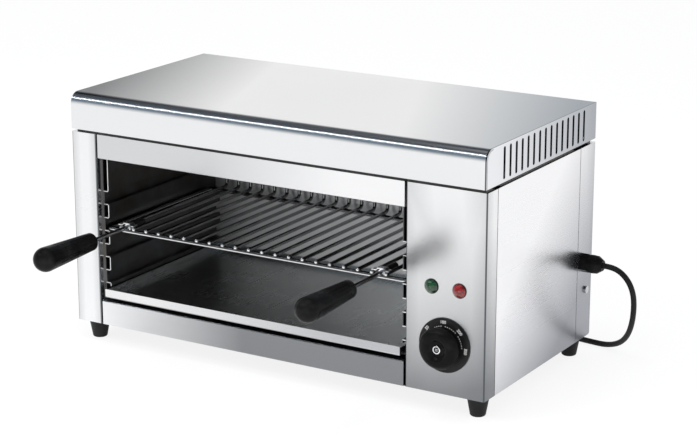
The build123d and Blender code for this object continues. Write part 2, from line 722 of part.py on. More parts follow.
def handle_strap(side):
    """A saddle over the handle rod, welded to the rack's front rail."""
    x = MID + side * HANDLE_X
    start = (x, FRONT + STRAP_FRONT, ROD_Z)
    outer = ROD_R + WELD + STRAP_T
    strap = peg(start, (0, 1, 0), outer, STRAP_L)
    floor = FRAME_Z + FRAME_R + WELD
    y = (start[1], start[1] + STRAP_L)
    strap += block((x - outer, x + outer), y, (floor, ROD_Z))
    strap -= block((x - 2 * outer, x + 2 * outer), y, (ROD_Z - 2 * outer, floor))
    hollow = block((x - ROD_R - WELD, x + ROD_R + WELD), y, (ROD_Z - 2 * outer, ROD_Z))
    strap -= hollow + peg(start, (0, 1, 0), ROD_R + WELD, STRAP_L)
    return strap


def handle_rod(side):
    start = (MID + side * HANDLE_X, FRONT + ROD_BACK, ROD_Z)
    length = ROD_BACK + HANDLE_REACH - GRIP_L + ROD_GRIP
    return peg(start, (0, -1, 0), ROD_R, length)


def handle_collar(side):
    """The black sleeve on the rod's inner end."""
    start = (MID + side * HANDLE_X, FRONT + ROD_BACK - COLLAR_L, ROD_Z)
    collar = peg(start, (0, 1, 0), COLLAR_R, COLLAR_L)
    return collar - peg(start, (0, 1, 0), ROD_R + WELD, COLLAR_L)


def grip_outline():
    """Half section of a grip: neck edge, taper, round outer end."""
    taper = GRIP_L - GRIP_R
    slope = GRIP_R * math.sqrt(0.5)
    neck = Line((0, 0), (GRIP_NECK_R - GRIP_EDGE, 0))
    edge = Line((GRIP_NECK_R - GRIP_EDGE, 0), (GRIP_NECK_R, GRIP_EDGE))
    side = Line((GRIP_NECK_R, GRIP_EDGE), (GRIP_R, taper))
    dome = ThreePointArc((GRIP_R, taper), (slope, taper + slope), (0, GRIP_L))
    axis = Line((0, GRIP_L), (0, 0))
    return make_face(Curve() + [neck, edge, side, dome, axis])


def grip(side):
    """A tapered, fluted grip with a domed end, on its rod."""
    inner = (MID + side * HANDLE_X, FRONT - HANDLE_REACH + GRIP_L, ROD_Z)
    frame = Plane(origin=inner, x_dir=(1, 0, 0), z_dir=(0, -1, 0))
    body = revolve(Plane.XZ * grip_outline(), Axis.Z)
    taper = math.atan2(GRIP_R - GRIP_NECK_R, GRIP_L - GRIP_R - GRIP_EDGE)
    reach = (GRIP_L - GRIP_R - 2 * FLUTE_END) / math.cos(taper)
    radius = GRIP_NECK_R + (FLUTE_END - GRIP_EDGE) * math.tan(taper)
    groove = Pos(radius + FLUTE_R / 2, 0, FLUTE_END) * Rot(0, math.degrees(taper), 0)
    groove = groove * Cylinder(FLUTE_R, reach, align=ON_FACE)
    flutes = [Rot(0, 0, i * 360 / FLUTE_COUNT) * groove for i in range(FLUTE_COUNT)]
    body -= flutes
    body -= Cylinder(ROD_R + WELD, ROD_GRIP, align=ON_FACE)
    return frame * body


# ---------------------------------------------------------------- controls
def dial_ring():
    start = (KNOB_X, FRONT, KNOB_HEIGHT)
    outline = [(DIAL_BORE_R, 0), (DIAL_R, 0), (DIAL_R, DIAL_T - DIAL_EDGE)]
    outline += [(DIAL_R - DIAL_EDGE, DIAL_T), (DIAL_BORE_R, DIAL_T)]
    return turned(start, (0, -1, 0), outline)


def knob():
    start = (KNOB_X, FRONT - DIAL_T - SEAT, KNOB_HEIGHT)
    shoulder = (KNOB_TOP_R - 0.29 * (KNOB_TOP_R - KNOB_RIM_R), KNOB_H - 0.29 * (KNOB_H - KNOB_SIDE))
    lines = [
        Line((0, 0), (KNOB_R, 0)),
        Line((KNOB_R, 0), (KNOB_TOP_R, KNOB_SIDE)),
        ThreePointArc((KNOB_TOP_R, KNOB_SIDE), shoulder, (KNOB_RIM_R, KNOB_H)),
        Line((KNOB_RIM_R, KNOB_H), (DISH_R, KNOB_H)),
        Line((DISH_R, KNOB_H), (DISH_FLOOR_R, KNOB_H - DISH_D)),
        Line((DISH_FLOOR_R, KNOB_H - DISH_D), (0, KNOB_H - DISH_D)),
        Line((0, KNOB_H - DISH_D), (0, 0)),
    ]
    body = revolve(Plane.XZ * make_face(Curve() + lines), Axis.Z)
    body -= Cylinder(SPINDLE_R + RUN, SPINDLE_IN_KNOB, align=ON_FACE)
    return Plane(origin=start, z_dir=(0, -1, 0)) * body


def knob_insert():
    start = (KNOB_X, FRONT - DIAL_T - SEAT - KNOB_H + DISH_D, KNOB_HEIGHT)
    return peg(start, (0, -1, 0), INSERT_R, INSERT_H)


def thermostat_spindle():
    start = (KNOB_X, FRONT + SHEET + SPINDLE_IN_BODY, KNOB_HEIGHT)
    length = SHEET + SPINDLE_IN_BODY + DIAL_T + SEAT + SPINDLE_IN_KNOB
    return peg(start, (0, -1, 0), SPINDLE_R, length)


def thermostat_body():
    half = THERMO_W / 2
    y = (FRONT + SHEET, FRONT + SHEET + THERMO_D)
    z = (KNOB_HEIGHT - half, KNOB_HEIGHT + half)
    body = block((KNOB_X - half, KNOB_X + half), y, z)
    bore = (KNOB_X, y[0], KNOB_HEIGHT)
    return body - peg(bore, (0, 1, 0), SPINDLE_R + RUN, SPINDLE_IN_BODY + SEAT)


def sensing_bulb():
    """The thermostat's bulb under the reflector and the capillary that leads to it."""
    bulb_end = MID + WALL_HALF - BULB_FROM_WALL
    rear = FRONT + SHEET + THERMO_D
    bulb = peg((bulb_end, BULB_Y, ELEMENT_Z), (-1, 0, 0), BULB_R, BULB_L)
    points = [
        (bulb_end, BULB_Y, ELEMENT_Z),
        (KNOB_X, BULB_Y, ELEMENT_Z),
        (KNOB_X, BULB_Y, KNOB_HEIGHT),
        (KNOB_X, rear, KNOB_HEIGHT),
    ]
    return bulb + tube(FilletPolyline(*points, radius=CAPILLARY_BEND), CAPILLARY_R)


def lamp_lens(side):
    """A domed lens on the panel; side is -1 for the left lamp, 1 for the right."""
    start = (KNOB_X + side * LAMP_SPACING / 2, FRONT, LAMP_HEIGHT)
    top = LENS_RIM + LENS_RISE
    sphere = (LENS_R ** 2 + LENS_RISE ** 2) / (2 * LENS_RISE)
    half = math.asin(LENS_R / sphere) / 2
    shoulder = (sphere * math.sin(half), top - sphere * (1 - math.cos(half)))
    lines = [
        Line((0, 0), (LENS_R, 0)),
        Line((LENS_R, 0), (LENS_R, LENS_RIM)),
        ThreePointArc((LENS_R, LENS_RIM), shoulder, (0, top)),
        Line((0, top), (0, 0)),
    ]
    body = revolve(Plane.XZ * make_face(Curve() + lines), Axis.Z)
    return Plane(origin=start, z_dir=(0, -1, 0)) * body


def lamp_body(side):
    """The lamp's barrel behind its lens, with the nut that holds it to the panel."""
    x = KNOB_X + side * LAMP_SPACING / 2
    barrel = peg((x, FRONT, LAMP_HEIGHT), (0, 1, 0), LAMP_R, LAMP_L)
    return barrel + peg((x, FRONT + SHEET, LAMP_HEIGHT), (0, 1, 0), LAMP_NUT_R, LAMP_NUT_T)


# ---------------------------------------------------------------- wiring
def terminal_block():
    x = (BLOCK_LEFT, BLOCK_LEFT + BLOCK_W)
    y = (BLOCK_FRONT, BLOCK_FRONT + BLOCK_D)
    return block(x, y, (BASE + SHEET, BLOCK_TOP))


def element_lead(index, y):
    """A wire from an element's pin down to the terminal block."""
    start = MID + WALL_OUT + ELEMENT_TAIL + PIN_L
    x = start + LEAD_STEP * (index + 1.5)
    block_y = BLOCK_FRONT + BLOCK_D / 2
    points = [
        (start, y, ELEMENT_Z),
        (x, y, ELEMENT_Z),
        (x, y, ELEMENT_Z - LEAD_KNEE),
        (x, block_y, BLOCK_TOP + LEAD_RISE),
        (x, block_y, BLOCK_TOP),
    ]
    return tube(FilletPolyline(*points, radius=LEAD_BEND), LEAD_R)


def loom_wire(index, end_x, end_y, end_z):
    """A wire from the terminal block forward to a control."""
    x = KNOB_X + LOOM_STEP * (index - 1)
    z = BASE + SHEET + BLOCK_H / 2
    points = [
        (x, BLOCK_FRONT, z),
        (x, BLOCK_FRONT - LOOM_STRAIGHT, z),
        (end_x, end_y + LOOM_STRAIGHT, end_z),
        (end_x, end_y, end_z),
    ]
    return tube(FilletPolyline(*points, radius=LEAD_BEND), LEAD_R)


def wiring():
    """The wires between terminal block, elements, thermostat and lamps."""
    wires = [element_lead(i, y) for i, y in enumerate(leg_ends())]
    thermo_y = FRONT + SHEET + THERMO_D
    thermo_z = KNOB_HEIGHT - THERMO_W / 3
    thermo_x = KNOB_X + THERMO_W / 3
    lamp_y = FRONT + LAMP_L
    wires.append(loom_wire(0, KNOB_X - LAMP_SPACING / 2, lamp_y, LAMP_HEIGHT))
    wires.append(loom_wire(2, thermo_x, thermo_y, thermo_z))
    wires.append(loom_wire(3, KNOB_X + LAMP_SPACING / 2, lamp_y, LAMP_HEIGHT))
    return wires


def supply_tail():
    """The lead's inner end, from the gland's stem to the terminal block."""
    start = (RIGHT - SHEET - GLAND_STEM_L, GLAND_Y, GLAND_HEIGHT)
    end_y = BLOCK_FRONT + BLOCK_D
    z = BASE + SHEET + BLOCK_H / 2
    turn = BLOCK_LEFT + BLOCK_W - BLOCK_D / 2
    points = [start, (turn, GLAND_Y, GLAND_HEIGHT), (turn, GLAND_Y, z), (turn, end_y, z)]
    return tube(FilletPolyline(*points, radius=2.5 * CORD_R), CORD_R)


# ---------------------------------------------------------------- feet and fasteners
def foot(x, y):
    """A tapered rubber foot with a bore for its screw."""
    body = turned((x, y, 0), (0, 0, 1), [(0, 0), (FOOT_BOTTOM_R, 0), (FOOT_TOP_R, FOOT_H), (0, FOOT_H)])
    rim = body.edges().filter_by(GeomType.CIRCLE).sort_by(Axis.Z)[0]
    body = fillet(rim, FOOT_EDGE)
    return body - peg((x, y, FOOT_H), (0, 0, -1), FOOT_SCREW_R + RUN, FOOT_SCREW_L + SEAT)


def foot_screw(x, y):
    head = peg((x, y, BASE + SHEET), (0, 0, 1), SCREW_HEAD_R, SCREW_HEAD_H)
    return head + peg((x, y, BASE + SHEET), (0, 0, -1), FOOT_SCREW_R, FOOT_SCREW_L + SHEET)


def rear_screw(x):
    start = (x, BACK, BASE + REAR_SCREW_Z)
    head = peg(start, (0, 1, 0), REAR_SCREW_HEAD, REAR_SCREW_H)
    return head + peg(start, (0, -1, 0), REAR_SCREW_R, 4 * SHEET)


def bonding_screw():
    """The earth bonding screw and its nut on the rear cover's right wrap."""
    y = BACK - BOND_FROM_REAR
    z = BASE + BOND_Z
    screw = peg((RIGHT, y, z), (1, 0, 0), BOND_HEAD_R, SCREW_HEAD_H)
    screw += peg((RIGHT, y, z), (-1, 0, 0), BOND_R, BOND_L)
    inside = (RIGHT - SHEET, y, z)
    nut = hexagon(inside, (-1, 0, 0), BOND_NUT_R, BOND_NUT_T)
    nut -= peg(inside, (-1, 0, 0), BOND_R + FIT, BOND_NUT_T)
    return [screw, nut]


# ---------------------------------------------------------------- gland, lead and plug
def cable_gland():
    start = (RIGHT, GLAND_Y, GLAND_HEIGHT)
    cap = (RIGHT + GLAND_HEX_L, GLAND_Y, GLAND_HEIGHT)
    body = hexagon(start, (1, 0, 0), GLAND_HEX_R, GLAND_HEX_L)
    reach = GLAND_CAP_L + GLAND_TIP_L
    outline = [(0, 0), (GLAND_CAP_R, 0), (GLAND_CAP_R, GLAND_CAP_L), (GLAND_TIP_R, reach), (0, reach)]
    body += turned(cap, (1, 0, 0), outline)
    return body + peg(start, (-1, 0, 0), GLAND_STEM_R, SHEET + GLAND_STEM_L)


def gland_nut():
    start = (RIGHT - SHEET, GLAND_Y, GLAND_HEIGHT)
    nut = hexagon(start, (-1, 0, 0), GLAND_NUT_R, GLAND_NUT_T)
    return nut - peg(start, (-1, 0, 0), GLAND_STEM_R + FIT, GLAND_NUT_T)


def lead_corners():
    """The route's points in place, and the radius of the arc at each corner."""
    points = [Vector(RIGHT + x, BACK + y, z) for x, y, z in LEAD_ROUTE]
    radii = []
    for before, here, after in zip(points, points[1:], points[2:]):
        turn = (here - before).get_angle(after - here)
        run = min((here - before).length, (after - here).length)
        radii.append(0.45 * run / math.tan(math.radians(turn / 2)))
    return points, radii


def cord_lead():
    points, radii = lead_corners()
    print("lead radii:", [round(r, 1) for r in radii])
    path = FilletPolyline(*points, radius=radii)
    lead = tube(path, CORD_R)
    section = math.pi * CORD_R ** 2
    print("lead length:", round(path.length, 1), "volume ratio:", round(lead.volume / section / path.length, 4))
    return lead


def coil_point(turns):
    """A point on the coil's centre line after some turns, and its direction there."""
    def place(t):
        radius = COIL_R - COIL_STEP * min(t, COIL_TURNS - t)
        climb = min(max((t - COIL_TURNS / 2 + 0.25) / 0.5, 0), 1)
        height = CORD_R + COIL_STEP * climb * climb * (3 - 2 * climb)
        angle = -math.pi / 2 - 2 * math.pi * t
        return Vector(COIL_X + radius * math.cos(angle), COIL_Y + radius * math.sin(angle), height)

    nudge = 0.001
    ahead = place(turns + nudge) - place(turns - nudge)
    if turns in (0, COIL_TURNS):
        ahead = Vector(-1, 0, 0)
    return place(turns), ahead.normalized()


def biarc(start, leave, end, arrive):
    """Two arcs that join two points and are tangent to a direction at each of them."""
    gap = end - start
    both = leave + arrive
    bend = 2 * (1 - leave.dot(arrive))
    reach = (math.sqrt(gap.dot(both) ** 2 + bend * gap.dot(gap)) - gap.dot(both)) / bend
    middle = (start + end + (leave - arrive) * reach) * 0.5
    first = Edge.make_tangent_arc(start, leave, middle)
    return [first, Edge.make_tangent_arc(middle, first % 1, end)]


def cord_coil():
    """The rest of the lead as one unbroken tube, wound in and out again in two layers."""
    steps = 4 * COIL_TURNS
    knots = [coil_point(i / 4) for i in range(steps + 1)]
    entry = knots[0][0] + Vector(COIL_END, 0, 0)
    leave = knots[-1][0] - Vector(COIL_EXIT, 0, 0)
    edges = [Edge.make_line(entry, knots[0][0])]
    for (start, out), (end, into) in zip(knots, knots[1:]):
        edges += biarc(start, out, end, into)
    edges.append(Edge.make_line(knots[-1][0], leave))
    path = Wire(edges)
    coil = sweep(Plane(origin=entry, z_dir=(-1, 0, 0)) * Circle(CORD_R), path=path)
    section = math.pi * CORD_R ** 2
    print("coil length:", round(path.length, 1), "volume ratio:", round(coil.volume / section / path.length, 4))
    print("coil least gap:", round(least_gap(edges), 2))
    return coil


def least_gap(edges):
    """The least gap between the coil and itself, measured on points along it."""
    points = [edge @ (i / 8) for edge in edges for i in range(8)]
    walked = [0.0]
    for before, here in zip(points, points[1:]):
        walked.append(walked[-1] + (here - before).length)
    apart = 6 * CORD_R
    gaps = [
        (points[i] - points[j]).length
        for i in range(len(points))
        for j in range(i)
        if walked[i] - walked[j] > apart
    ]
    return min(gaps) - 2 * CORD_R


def plug_start():
    """The point where the coil's end meets the plug."""
    return Vector(COIL_X - COIL_EXIT, COIL_Y - COIL_R, CORD_R + COIL_STEP)


def plug_body():
    """A flat moulded plug that lies beside the coil, with a tapered neck round the lead."""
    at = plug_start()
    neck = turned(at, (-1, 0, 0), [(0, 0), (CORD_R + 1, 0), (PLUG_NECK_R, PLUG_NECK_L), (0, PLUG_NECK_L)])
    x = (at.X - PLUG_NECK_L - PLUG_L, at.X - PLUG_NECK_L)
    y = (at.Y - PLUG_W / 2, at.Y + PLUG_W / 2)
    body = block(x, y, (at.Z - PLUG_T / 2, at.Z + PLUG_T / 2))
    body = fillet(body.edges().filter_by(Axis.X), PLUG_EDGE)
    return body + neck


def plug_pin(index):
    at = plug_start()
    start = (at.X - PLUG_NECK_L - PLUG_L, at.Y + index * PLUG_PIN_STEP, at.Z)
    return peg(start, (-1, 0, 0), PLUG_PIN_R, PLUG_PIN_L)


# ---------------------------------------------------------------- write every piece
def main():
    os.makedirs("parts", exist_ok=True)

    save("top_cover", top_cover())
    save("lid_brackets", *lid_brackets())
    save("left_post", front_post(LEFT, OPEN_L, LEFT))
    save("control_panel", control_panel())
    save("header_panel", header_panel())
    save("front_skirt", front_skirt())
    save("left_side_panel", side_panel(-1))
    save("right_side_panel", side_panel(1))
    save("rear_cover", rear_cover())
    save("base_plate", base_plate())
    save("top_plate", top_plate())

    save("left_inner_wall", inner_wall(-1))
    save("right_inner_wall", inner_wall(1))
    save("left_rack_guide", rack_guide(-1))
    save("right_rack_guide", rack_guide(1))
    save("cavity_back", cavity_back())
    save("reflector", reflector())
    save("insulation", insulation())

    front, rear = first_legs()
    save("front_element", heating_element(front))
    save("rear_element", heating_element(rear))
    save("element_supports", *[element_support(MID + x) for x in (-SUPPORT_X, SUPPORT_X)])
    save("element_bushes", *[element_bush(y) for y in leg_ends()])

    save("tray_runners", tray_runner(-1), tray_runner(1))
    save("crumb_tray", crumb_tray())

    save("rack_frame", rack_frame())
    save("rack_wires", *[rack_wire(x) for x in wire_places()])
    save("rack_rear_rail", rack_rear_rail())
    for side, name in ((-1, "left"), (1, "right")):
        save(name + "_handle_strap", handle_strap(side))
        save(name + "_handle_rod", handle_rod(side))
        save(name + "_handle_collar", handle_collar(side))
        save(name + "_grip", grip(side))

    save("dial_ring", dial_ring())
    save("knob", knob())
    save("knob_insert", knob_insert())
    save("thermostat_spindle", thermostat_spindle())
    save("thermostat_body", thermostat_body())
    save("sensing_bulb", sensing_bulb())
    save("green_lens", lamp_lens(-1))
    save("red_lens", lamp_lens(1))
    save("lamp_bodies", lamp_body(-1), lamp_body(1))

    save("terminal_block", terminal_block())
    save("wiring", *wiring())
    save("supply_tail", supply_tail())

    for name, x, y in foot_places():
        save("foot_" + name, foot(x, y))
    save("foot_screws", *[foot_screw(x, y) for _, x, y in foot_places()])
    save("rear_screws", *[rear_screw(x) for x in rear_screw_places()])
    save("bonding_screw", *bonding_screw())

    save("cable_gland", cable_gland())
    save("gland_nut", gland_nut())
    save("cord_lead", cord_lead())
    save("cord_coil", cord_coil())
    save("plug_body", plug_body())
    save("plug_pins", *[plug_pin(i) for i in (-1, 0, 1)])
    print(len(MADE), "nodes")


main()
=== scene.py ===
"""The dressed model of a counter-top cheese melter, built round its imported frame."""

import json
import logging
import math
from dataclasses import dataclass, field, replace
from enum import Enum

import bmesh
import bpy
from mathutils import Matrix, Vector

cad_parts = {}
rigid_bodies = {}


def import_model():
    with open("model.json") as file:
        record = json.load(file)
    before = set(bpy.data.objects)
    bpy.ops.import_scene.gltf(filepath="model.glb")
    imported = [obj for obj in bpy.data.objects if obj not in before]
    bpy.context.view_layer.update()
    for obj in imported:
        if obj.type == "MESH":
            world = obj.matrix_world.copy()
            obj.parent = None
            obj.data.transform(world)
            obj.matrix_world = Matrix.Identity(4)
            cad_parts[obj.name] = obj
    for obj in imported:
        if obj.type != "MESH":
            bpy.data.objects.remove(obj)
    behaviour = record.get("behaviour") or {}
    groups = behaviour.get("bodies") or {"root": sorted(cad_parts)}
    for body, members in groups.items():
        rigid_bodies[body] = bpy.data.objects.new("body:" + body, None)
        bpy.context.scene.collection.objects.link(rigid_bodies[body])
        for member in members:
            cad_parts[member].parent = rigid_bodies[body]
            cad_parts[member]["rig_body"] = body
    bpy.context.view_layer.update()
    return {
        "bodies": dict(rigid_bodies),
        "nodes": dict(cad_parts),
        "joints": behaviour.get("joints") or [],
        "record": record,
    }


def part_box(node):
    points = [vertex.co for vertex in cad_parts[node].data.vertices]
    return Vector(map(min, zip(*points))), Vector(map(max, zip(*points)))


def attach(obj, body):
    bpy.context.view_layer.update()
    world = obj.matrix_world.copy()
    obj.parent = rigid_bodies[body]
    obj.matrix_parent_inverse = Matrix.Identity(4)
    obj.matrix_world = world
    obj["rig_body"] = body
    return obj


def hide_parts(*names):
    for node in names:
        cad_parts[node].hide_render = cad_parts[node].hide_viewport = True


log = logging.getLogger("cheese_melter")

MM = 0.001
WHITE = (1.0, 1.0, 1.0)
BLACK = (0.0, 0.0, 0.0)


def new_object(name: str, data: bpy.types.ID) -> bpy.types.Object:
    """Add an object to the scene."""
    made = bpy.data.objects.new(name, data)
    bpy.context.scene.collection.objects.link(made)
    return made


def box_middle(low: Vector, high: Vector, y: float) -> Vector:
    """The middle of a box across x and z, at a given y."""
    return Vector(((low.x + high.x) / 2, y, (low.z + high.z) / 2))


# --- shader expressions
class Sock:
    """An output socket or a number, on which sums are written as Python expressions."""

    def __init__(self, shader: "Shader", socket: bpy.types.NodeSocket) -> None:
        """Wrap a socket.

        Args:
            shader: The material that the socket belongs to.
            socket: The output socket.
        """
        self.shader = shader
        self.socket = socket

    def _math(self, operation: str, first: "Sock | float", second: "Sock | float" = 0.0) -> "Sock":
        """Add a Math node.

        Args:
            operation: The node's operation.
            first: The first value.
            second: The second value.

        Returns:
            The node's result.
        """
        node = self.shader.node("ShaderNodeMath", {0: first, 1: second}, {"operation": operation})
        return Sock(self.shader, node.outputs[0])

    def __add__(self, other: "Sock | float") -> "Sock":
        """Sum."""
        return self._math("ADD", self, other)

    __radd__ = __add__

    def __sub__(self, other: "Sock | float") -> "Sock":
        """Difference."""
        return self._math("SUBTRACT", self, other)

    def __rsub__(self, other: float) -> "Sock":
        """Difference from a number."""
        return self._math("SUBTRACT", other, self)

    def __mul__(self, other: "Sock | float") -> "Sock":
        """Product."""
        return self._math("MULTIPLY", self, other)

    __rmul__ = __mul__

    def __pow__(self, other: float) -> "Sock":
        """Power."""
        return self._math("POWER", self, other)

    def __gt__(self, other: float) -> "Sock":
        """One where the value is greater, else zero."""
        return self._math("GREATER_THAN", self, other)

    def __abs__(self) -> "Sock":
        """Size without sign."""
        return self._math("ABSOLUTE", self)

    def clamp(self) -> "Sock":
        """The value held between 0 and 1."""
        return self._math("MINIMUM", self._math("MAXIMUM", self, 0.0), 1.0)

    def ramp(self, low: float, high: float) -> "Sock":
        """0 below low, 1 above high and a straight rise between."""
        return ((self - low) * (1.0 / (high - low))).clamp()


class Tree:
    """A node tree that is being built."""

    def node(self, kind: str, values: dict, settings: dict | None = None) -> bpy.types.Node:
        """Add a node.

        Args:
            kind: The node's type.
            values: Numbers or links for its inputs, by name or index.
            settings: Its properties, set first.

        Returns:
            The node.
        """
        node = self.tree.nodes.new(kind)
        for name, value in (settings or {}).items():
            setattr(node, name, value)
        for name, value in values.items():
            value = value.socket if isinstance(value, Sock) else value
            if isinstance(value, bpy.types.NodeSocket):
                self.tree.links.new(value, node.inputs[name])
            else:
                node.inputs[name].default_value = value
        return node


class Shader(Tree):
    """The node tree of one material or world."""

    def __init__(self, owner: bpy.types.ID) -> None:
        """Start an empty tree.

        Args:
            owner: The material or world.
        """
        owner.use_nodes = True
        self.tree = owner.node_tree
        self.tree.nodes.clear()

    def out(self, kind: str, values: dict, output: int | str = 0) -> Sock:
        """Add a node and wrap one of its outputs."""
        return Sock(self, self.node(kind, values).outputs[output])

    def split(self, vector: Sock) -> tuple[Sock, Sock, Sock]:
        """A vector's x, y and z."""
        parts = self.node("ShaderNodeSeparateXYZ", {0: vector})
        return tuple(Sock(self, parts.outputs[i]) for i in range(3))

    def position(self) -> tuple[Sock, Sock, Sock]:
        """The point's object coordinates, one by one."""
        return self.split(self.out("ShaderNodeTexCoord", {}, "Object"))

    def normal(self) -> tuple[Sock, Sock, Sock]:
        """The face's direction, one by one."""
        return self.split(self.out("ShaderNodeNewGeometry", {}, "Normal"))

    def ray(self, kind: str) -> Sock:
        """One for a kind of ray, such as Camera or Glossy, else zero."""
        return self.out("ShaderNodeLightPath", {}, f"Is {kind} Ray")

    def point(self, x: "Sock | float", y: "Sock | float", z: "Sock | float") -> Sock:
        """A vector from three values."""
        return self.out("ShaderNodeCombineXYZ", {0: x, 1: y, 2: z})

    def noise(self, at: Sock, scale: float, detail: float = 2.0, rough: float = 0.5) -> Sock:
        """Noise between 0 and 1 at a point."""
        values = {"Vector": at, "Scale": scale, "Detail": detail, "Roughness": rough}
        return self.out("ShaderNodeTexNoise", values)

    def mix(self, factor: "Sock | float", first: "Sock | tuple", second: "Sock | tuple") -> Sock:
        """A mix of two colours."""
        first = first if isinstance(first, Sock) else (*first, 1)
        second = second if isinstance(second, Sock) else (*second, 1)
        node = self.node("ShaderNodeMix", {0: factor, 6: first, 7: second}, {"data_type": "RGBA"})
        return Sock(self, node.outputs[2])

    def bump(self, height: Sock, distance: float, strength: float = 1.0) -> Sock:
        """A surface direction from a height in metres times distance."""
        values = {"Height": height, "Distance": distance, "Strength": strength}
        return self.out("ShaderNodeBump", values)

    def surface(self, values: dict) -> None:
        """Finish the tree with a Principled shader."""
        shader = self.node("ShaderNodeBsdfPrincipled", values)
        self.node("ShaderNodeOutputMaterial", {"Surface": shader.outputs[0]})


# --- finishes
SIDEWAYS = 0.7  # the least x of a direction that counts as looking sideways


class Grain(Enum):
    """The way that a sheet was brushed: 1 for each of x, y and z that its scratches run along."""

    FRONT = (1.0, 1.0, 0.0)
    LID = (1.0, 0.0, 0.0)


class Facing(Enum):
    """The axis that a face looks along, either way."""

    X = 0
    Y = 1
    Z = 2


@dataclass(frozen=True)
class Shade:
    """Painted light and shade, changing slowly across a sheet along a mix of the object's axes."""

    along: tuple
    low: float
    high: float
    color: tuple
    amount: float
    facing: Facing | None = None

    def over(self, s: Shader, base: Sock, place: tuple, normal: tuple = ()) -> Sock:
        """Lay the change over a colour.

        Args:
            s: The material.
            base: The colour so far.
            place: The point's coordinates.
            normal: The size of each part of the face's direction, where facing is set.

        Returns:
            The changed colour.
        """
        x, y, z = (part * share for part, share in zip(place, self.along))
        across = (x + y + z).ramp(self.low, self.high)
        if self.facing is not None:
            across = across * (normal[self.facing.value] > 0.5)
        return s.mix(across * self.amount, base, self.color)


@dataclass(frozen=True)
class Finish:
    """A named look of a surface."""

    name: str

    def build(self) -> bpy.types.Material:
        """Make the material."""
        material = bpy.data.materials.new(self.name)
        self.paint(Shader(material))
        return material


@dataclass(frozen=True)
class BrushedSteel(Finish):
    """Stainless sheet with a fine one-way grain and painted shade at its folds.

    A face that looks sideways has painted shade within inner of the middle. Seams holds the y
    of each place where two sheets meet, and seam is the width of the painted shade line there.
    """

    color: tuple = (0.83, 0.84, 0.855)
    grain: Grain = Grain.FRONT
    roughness: float = 0.26
    long: float = 2.0
    fine: float = 210.0
    uneven: float = 0.025
    # colour and share of the painted shade at bends, seams and the laps seen through them
    painted_shade: tuple = (0.10, 0.11, 0.12)
    painted_shade_share: float = 0.9
    inner: float = 0.0
    shades: tuple = ()
    seams: tuple = ()
    seam: float = 1.6 * MM

    def paint(self, s: Shader) -> None:
        """Lay out the nodes."""
        place = s.position()
        x, y, z = place
        normal = tuple(abs(n) for n in s.normal())
        side = normal[0] > SIDEWAYS
        scales = [self.long if a else self.fine for a in self.grain.value]
        y_scale = scales[1]
        if y_scale != self.long:
            y_scale = y_scale - (y_scale - self.long) * side
        lines = s.noise(s.point(x * scales[0], y * y_scale, z * scales[2]), 1.0, 2.0, 0.6)
        wide = s.noise(s.point(x * 4.0, y * 4.0, z * 7.0), 1.0, 1.0)
        tone = 1.0 - self.uneven + lines * self.uneven * 1.4 + (wide - 0.5) * 0.10
        base = s.mix(tone.clamp(), BLACK, self.color)
        # painted light and shade laid across the sheet
        for shade in self.shades:
            base = shade.over(s, base, place, normal)
        # painted shade along the bends between front and side faces
        corner_shade = (normal[0] * normal[1] * 4.0).ramp(0.05, 0.4)
        base = s.mix(corner_shade * self.painted_shade_share, base, self.painted_shade)
        # painted shade in a line at each seam between sheets
        for seam_y in self.seams:
            line = (1.0 - abs(y - seam_y).ramp(0.5 * self.seam, self.seam)) * side
            base = s.mix(line * self.painted_shade_share, base, self.painted_shade)
        # painted shade on the laps that show through the seams
        if self.inner:
            hidden_shade = (1.0 - abs(x).ramp(self.inner - 0.1 * MM, self.inner)) * side
            base = s.mix(hidden_shade, base, self.painted_shade)
        s.surface({
            "Base Color": base,
            "Metallic": 1.0,
            "Roughness": self.roughness + (lines - 0.5) * 0.03 + (wide - 0.5) * 0.04,
        })


@dataclass(frozen=True)
class ScorchedSteel(Finish):
    """Lining sheet that heat has dulled and darkened; its shades are painted light and shade."""

    color: tuple = (0.16, 0.16, 0.165)
    tint: tuple = (0.10, 0.085, 0.07)
    roughness: float = 0.38
    metallic: float = 1.0
    shades: tuple = ()

    def paint(self, s: Shader) -> None:
        """Lay out the nodes."""
        place = s.position()
        x, y, z = place
        cloud = s.noise(s.point(x, y, z), 14.0, 4.0, 0.6)
        lines = s.noise(s.point(x * 900.0, y * 8.0, z * 900.0), 1.0, 2.0)
        base = s.mix(cloud.ramp(0.35, 0.75), self.color, self.tint)
        # painted light and shade laid across the sheet
        for shade in self.shades:
            base = shade.over(s, base, place)
        s.surface({
            "Base Color": base,
            "Metallic": self.metallic,
            "Roughness": self.roughness + (cloud - 0.5) * 0.08 + (lines - 0.5) * 0.04,
            "Normal": s.bump(lines, 0.001 * MM),
        })


@dataclass(frozen=True)
class BrightRod(Finish):
    """Plated or polished metal with faint drawing marks, painted shade above a height if set."""

    color: tuple = (0.78, 0.79, 0.81)
    roughness: float = 0.14
    dull: tuple = (0.4, 0.39, 0.38)
    top_shade: tuple = (0.06, 0.06, 0.06)
    top_shade_above: float = 0.0
    top_shade_fade: float = 0.4 * MM

    def paint(self, s: Shader) -> None:
        """Lay out the nodes."""
        x, y, z = s.position()
        at = s.point(x, y, z)
        spots = s.noise(at, 60.0, 3.0).ramp(0.52, 0.8)
        marks = s.noise(at, 420.0, 2.0)
        base = s.mix(spots * 0.5, self.color, self.dull)
        # painted shade: the rod darkened above the given height
        if self.top_shade_above:
            shaded_top = z.ramp(self.top_shade_above, self.top_shade_above + self.top_shade_fade)
            base = s.mix(shaded_top * 0.9, base, self.top_shade)
        s.surface({
            "Base Color": base,
            "Metallic": 1.0,
            "Roughness": self.roughness + spots * 0.12 + (marks - 0.5) * 0.06,
            "Normal": s.bump(marks, 0.01 * MM),
        })


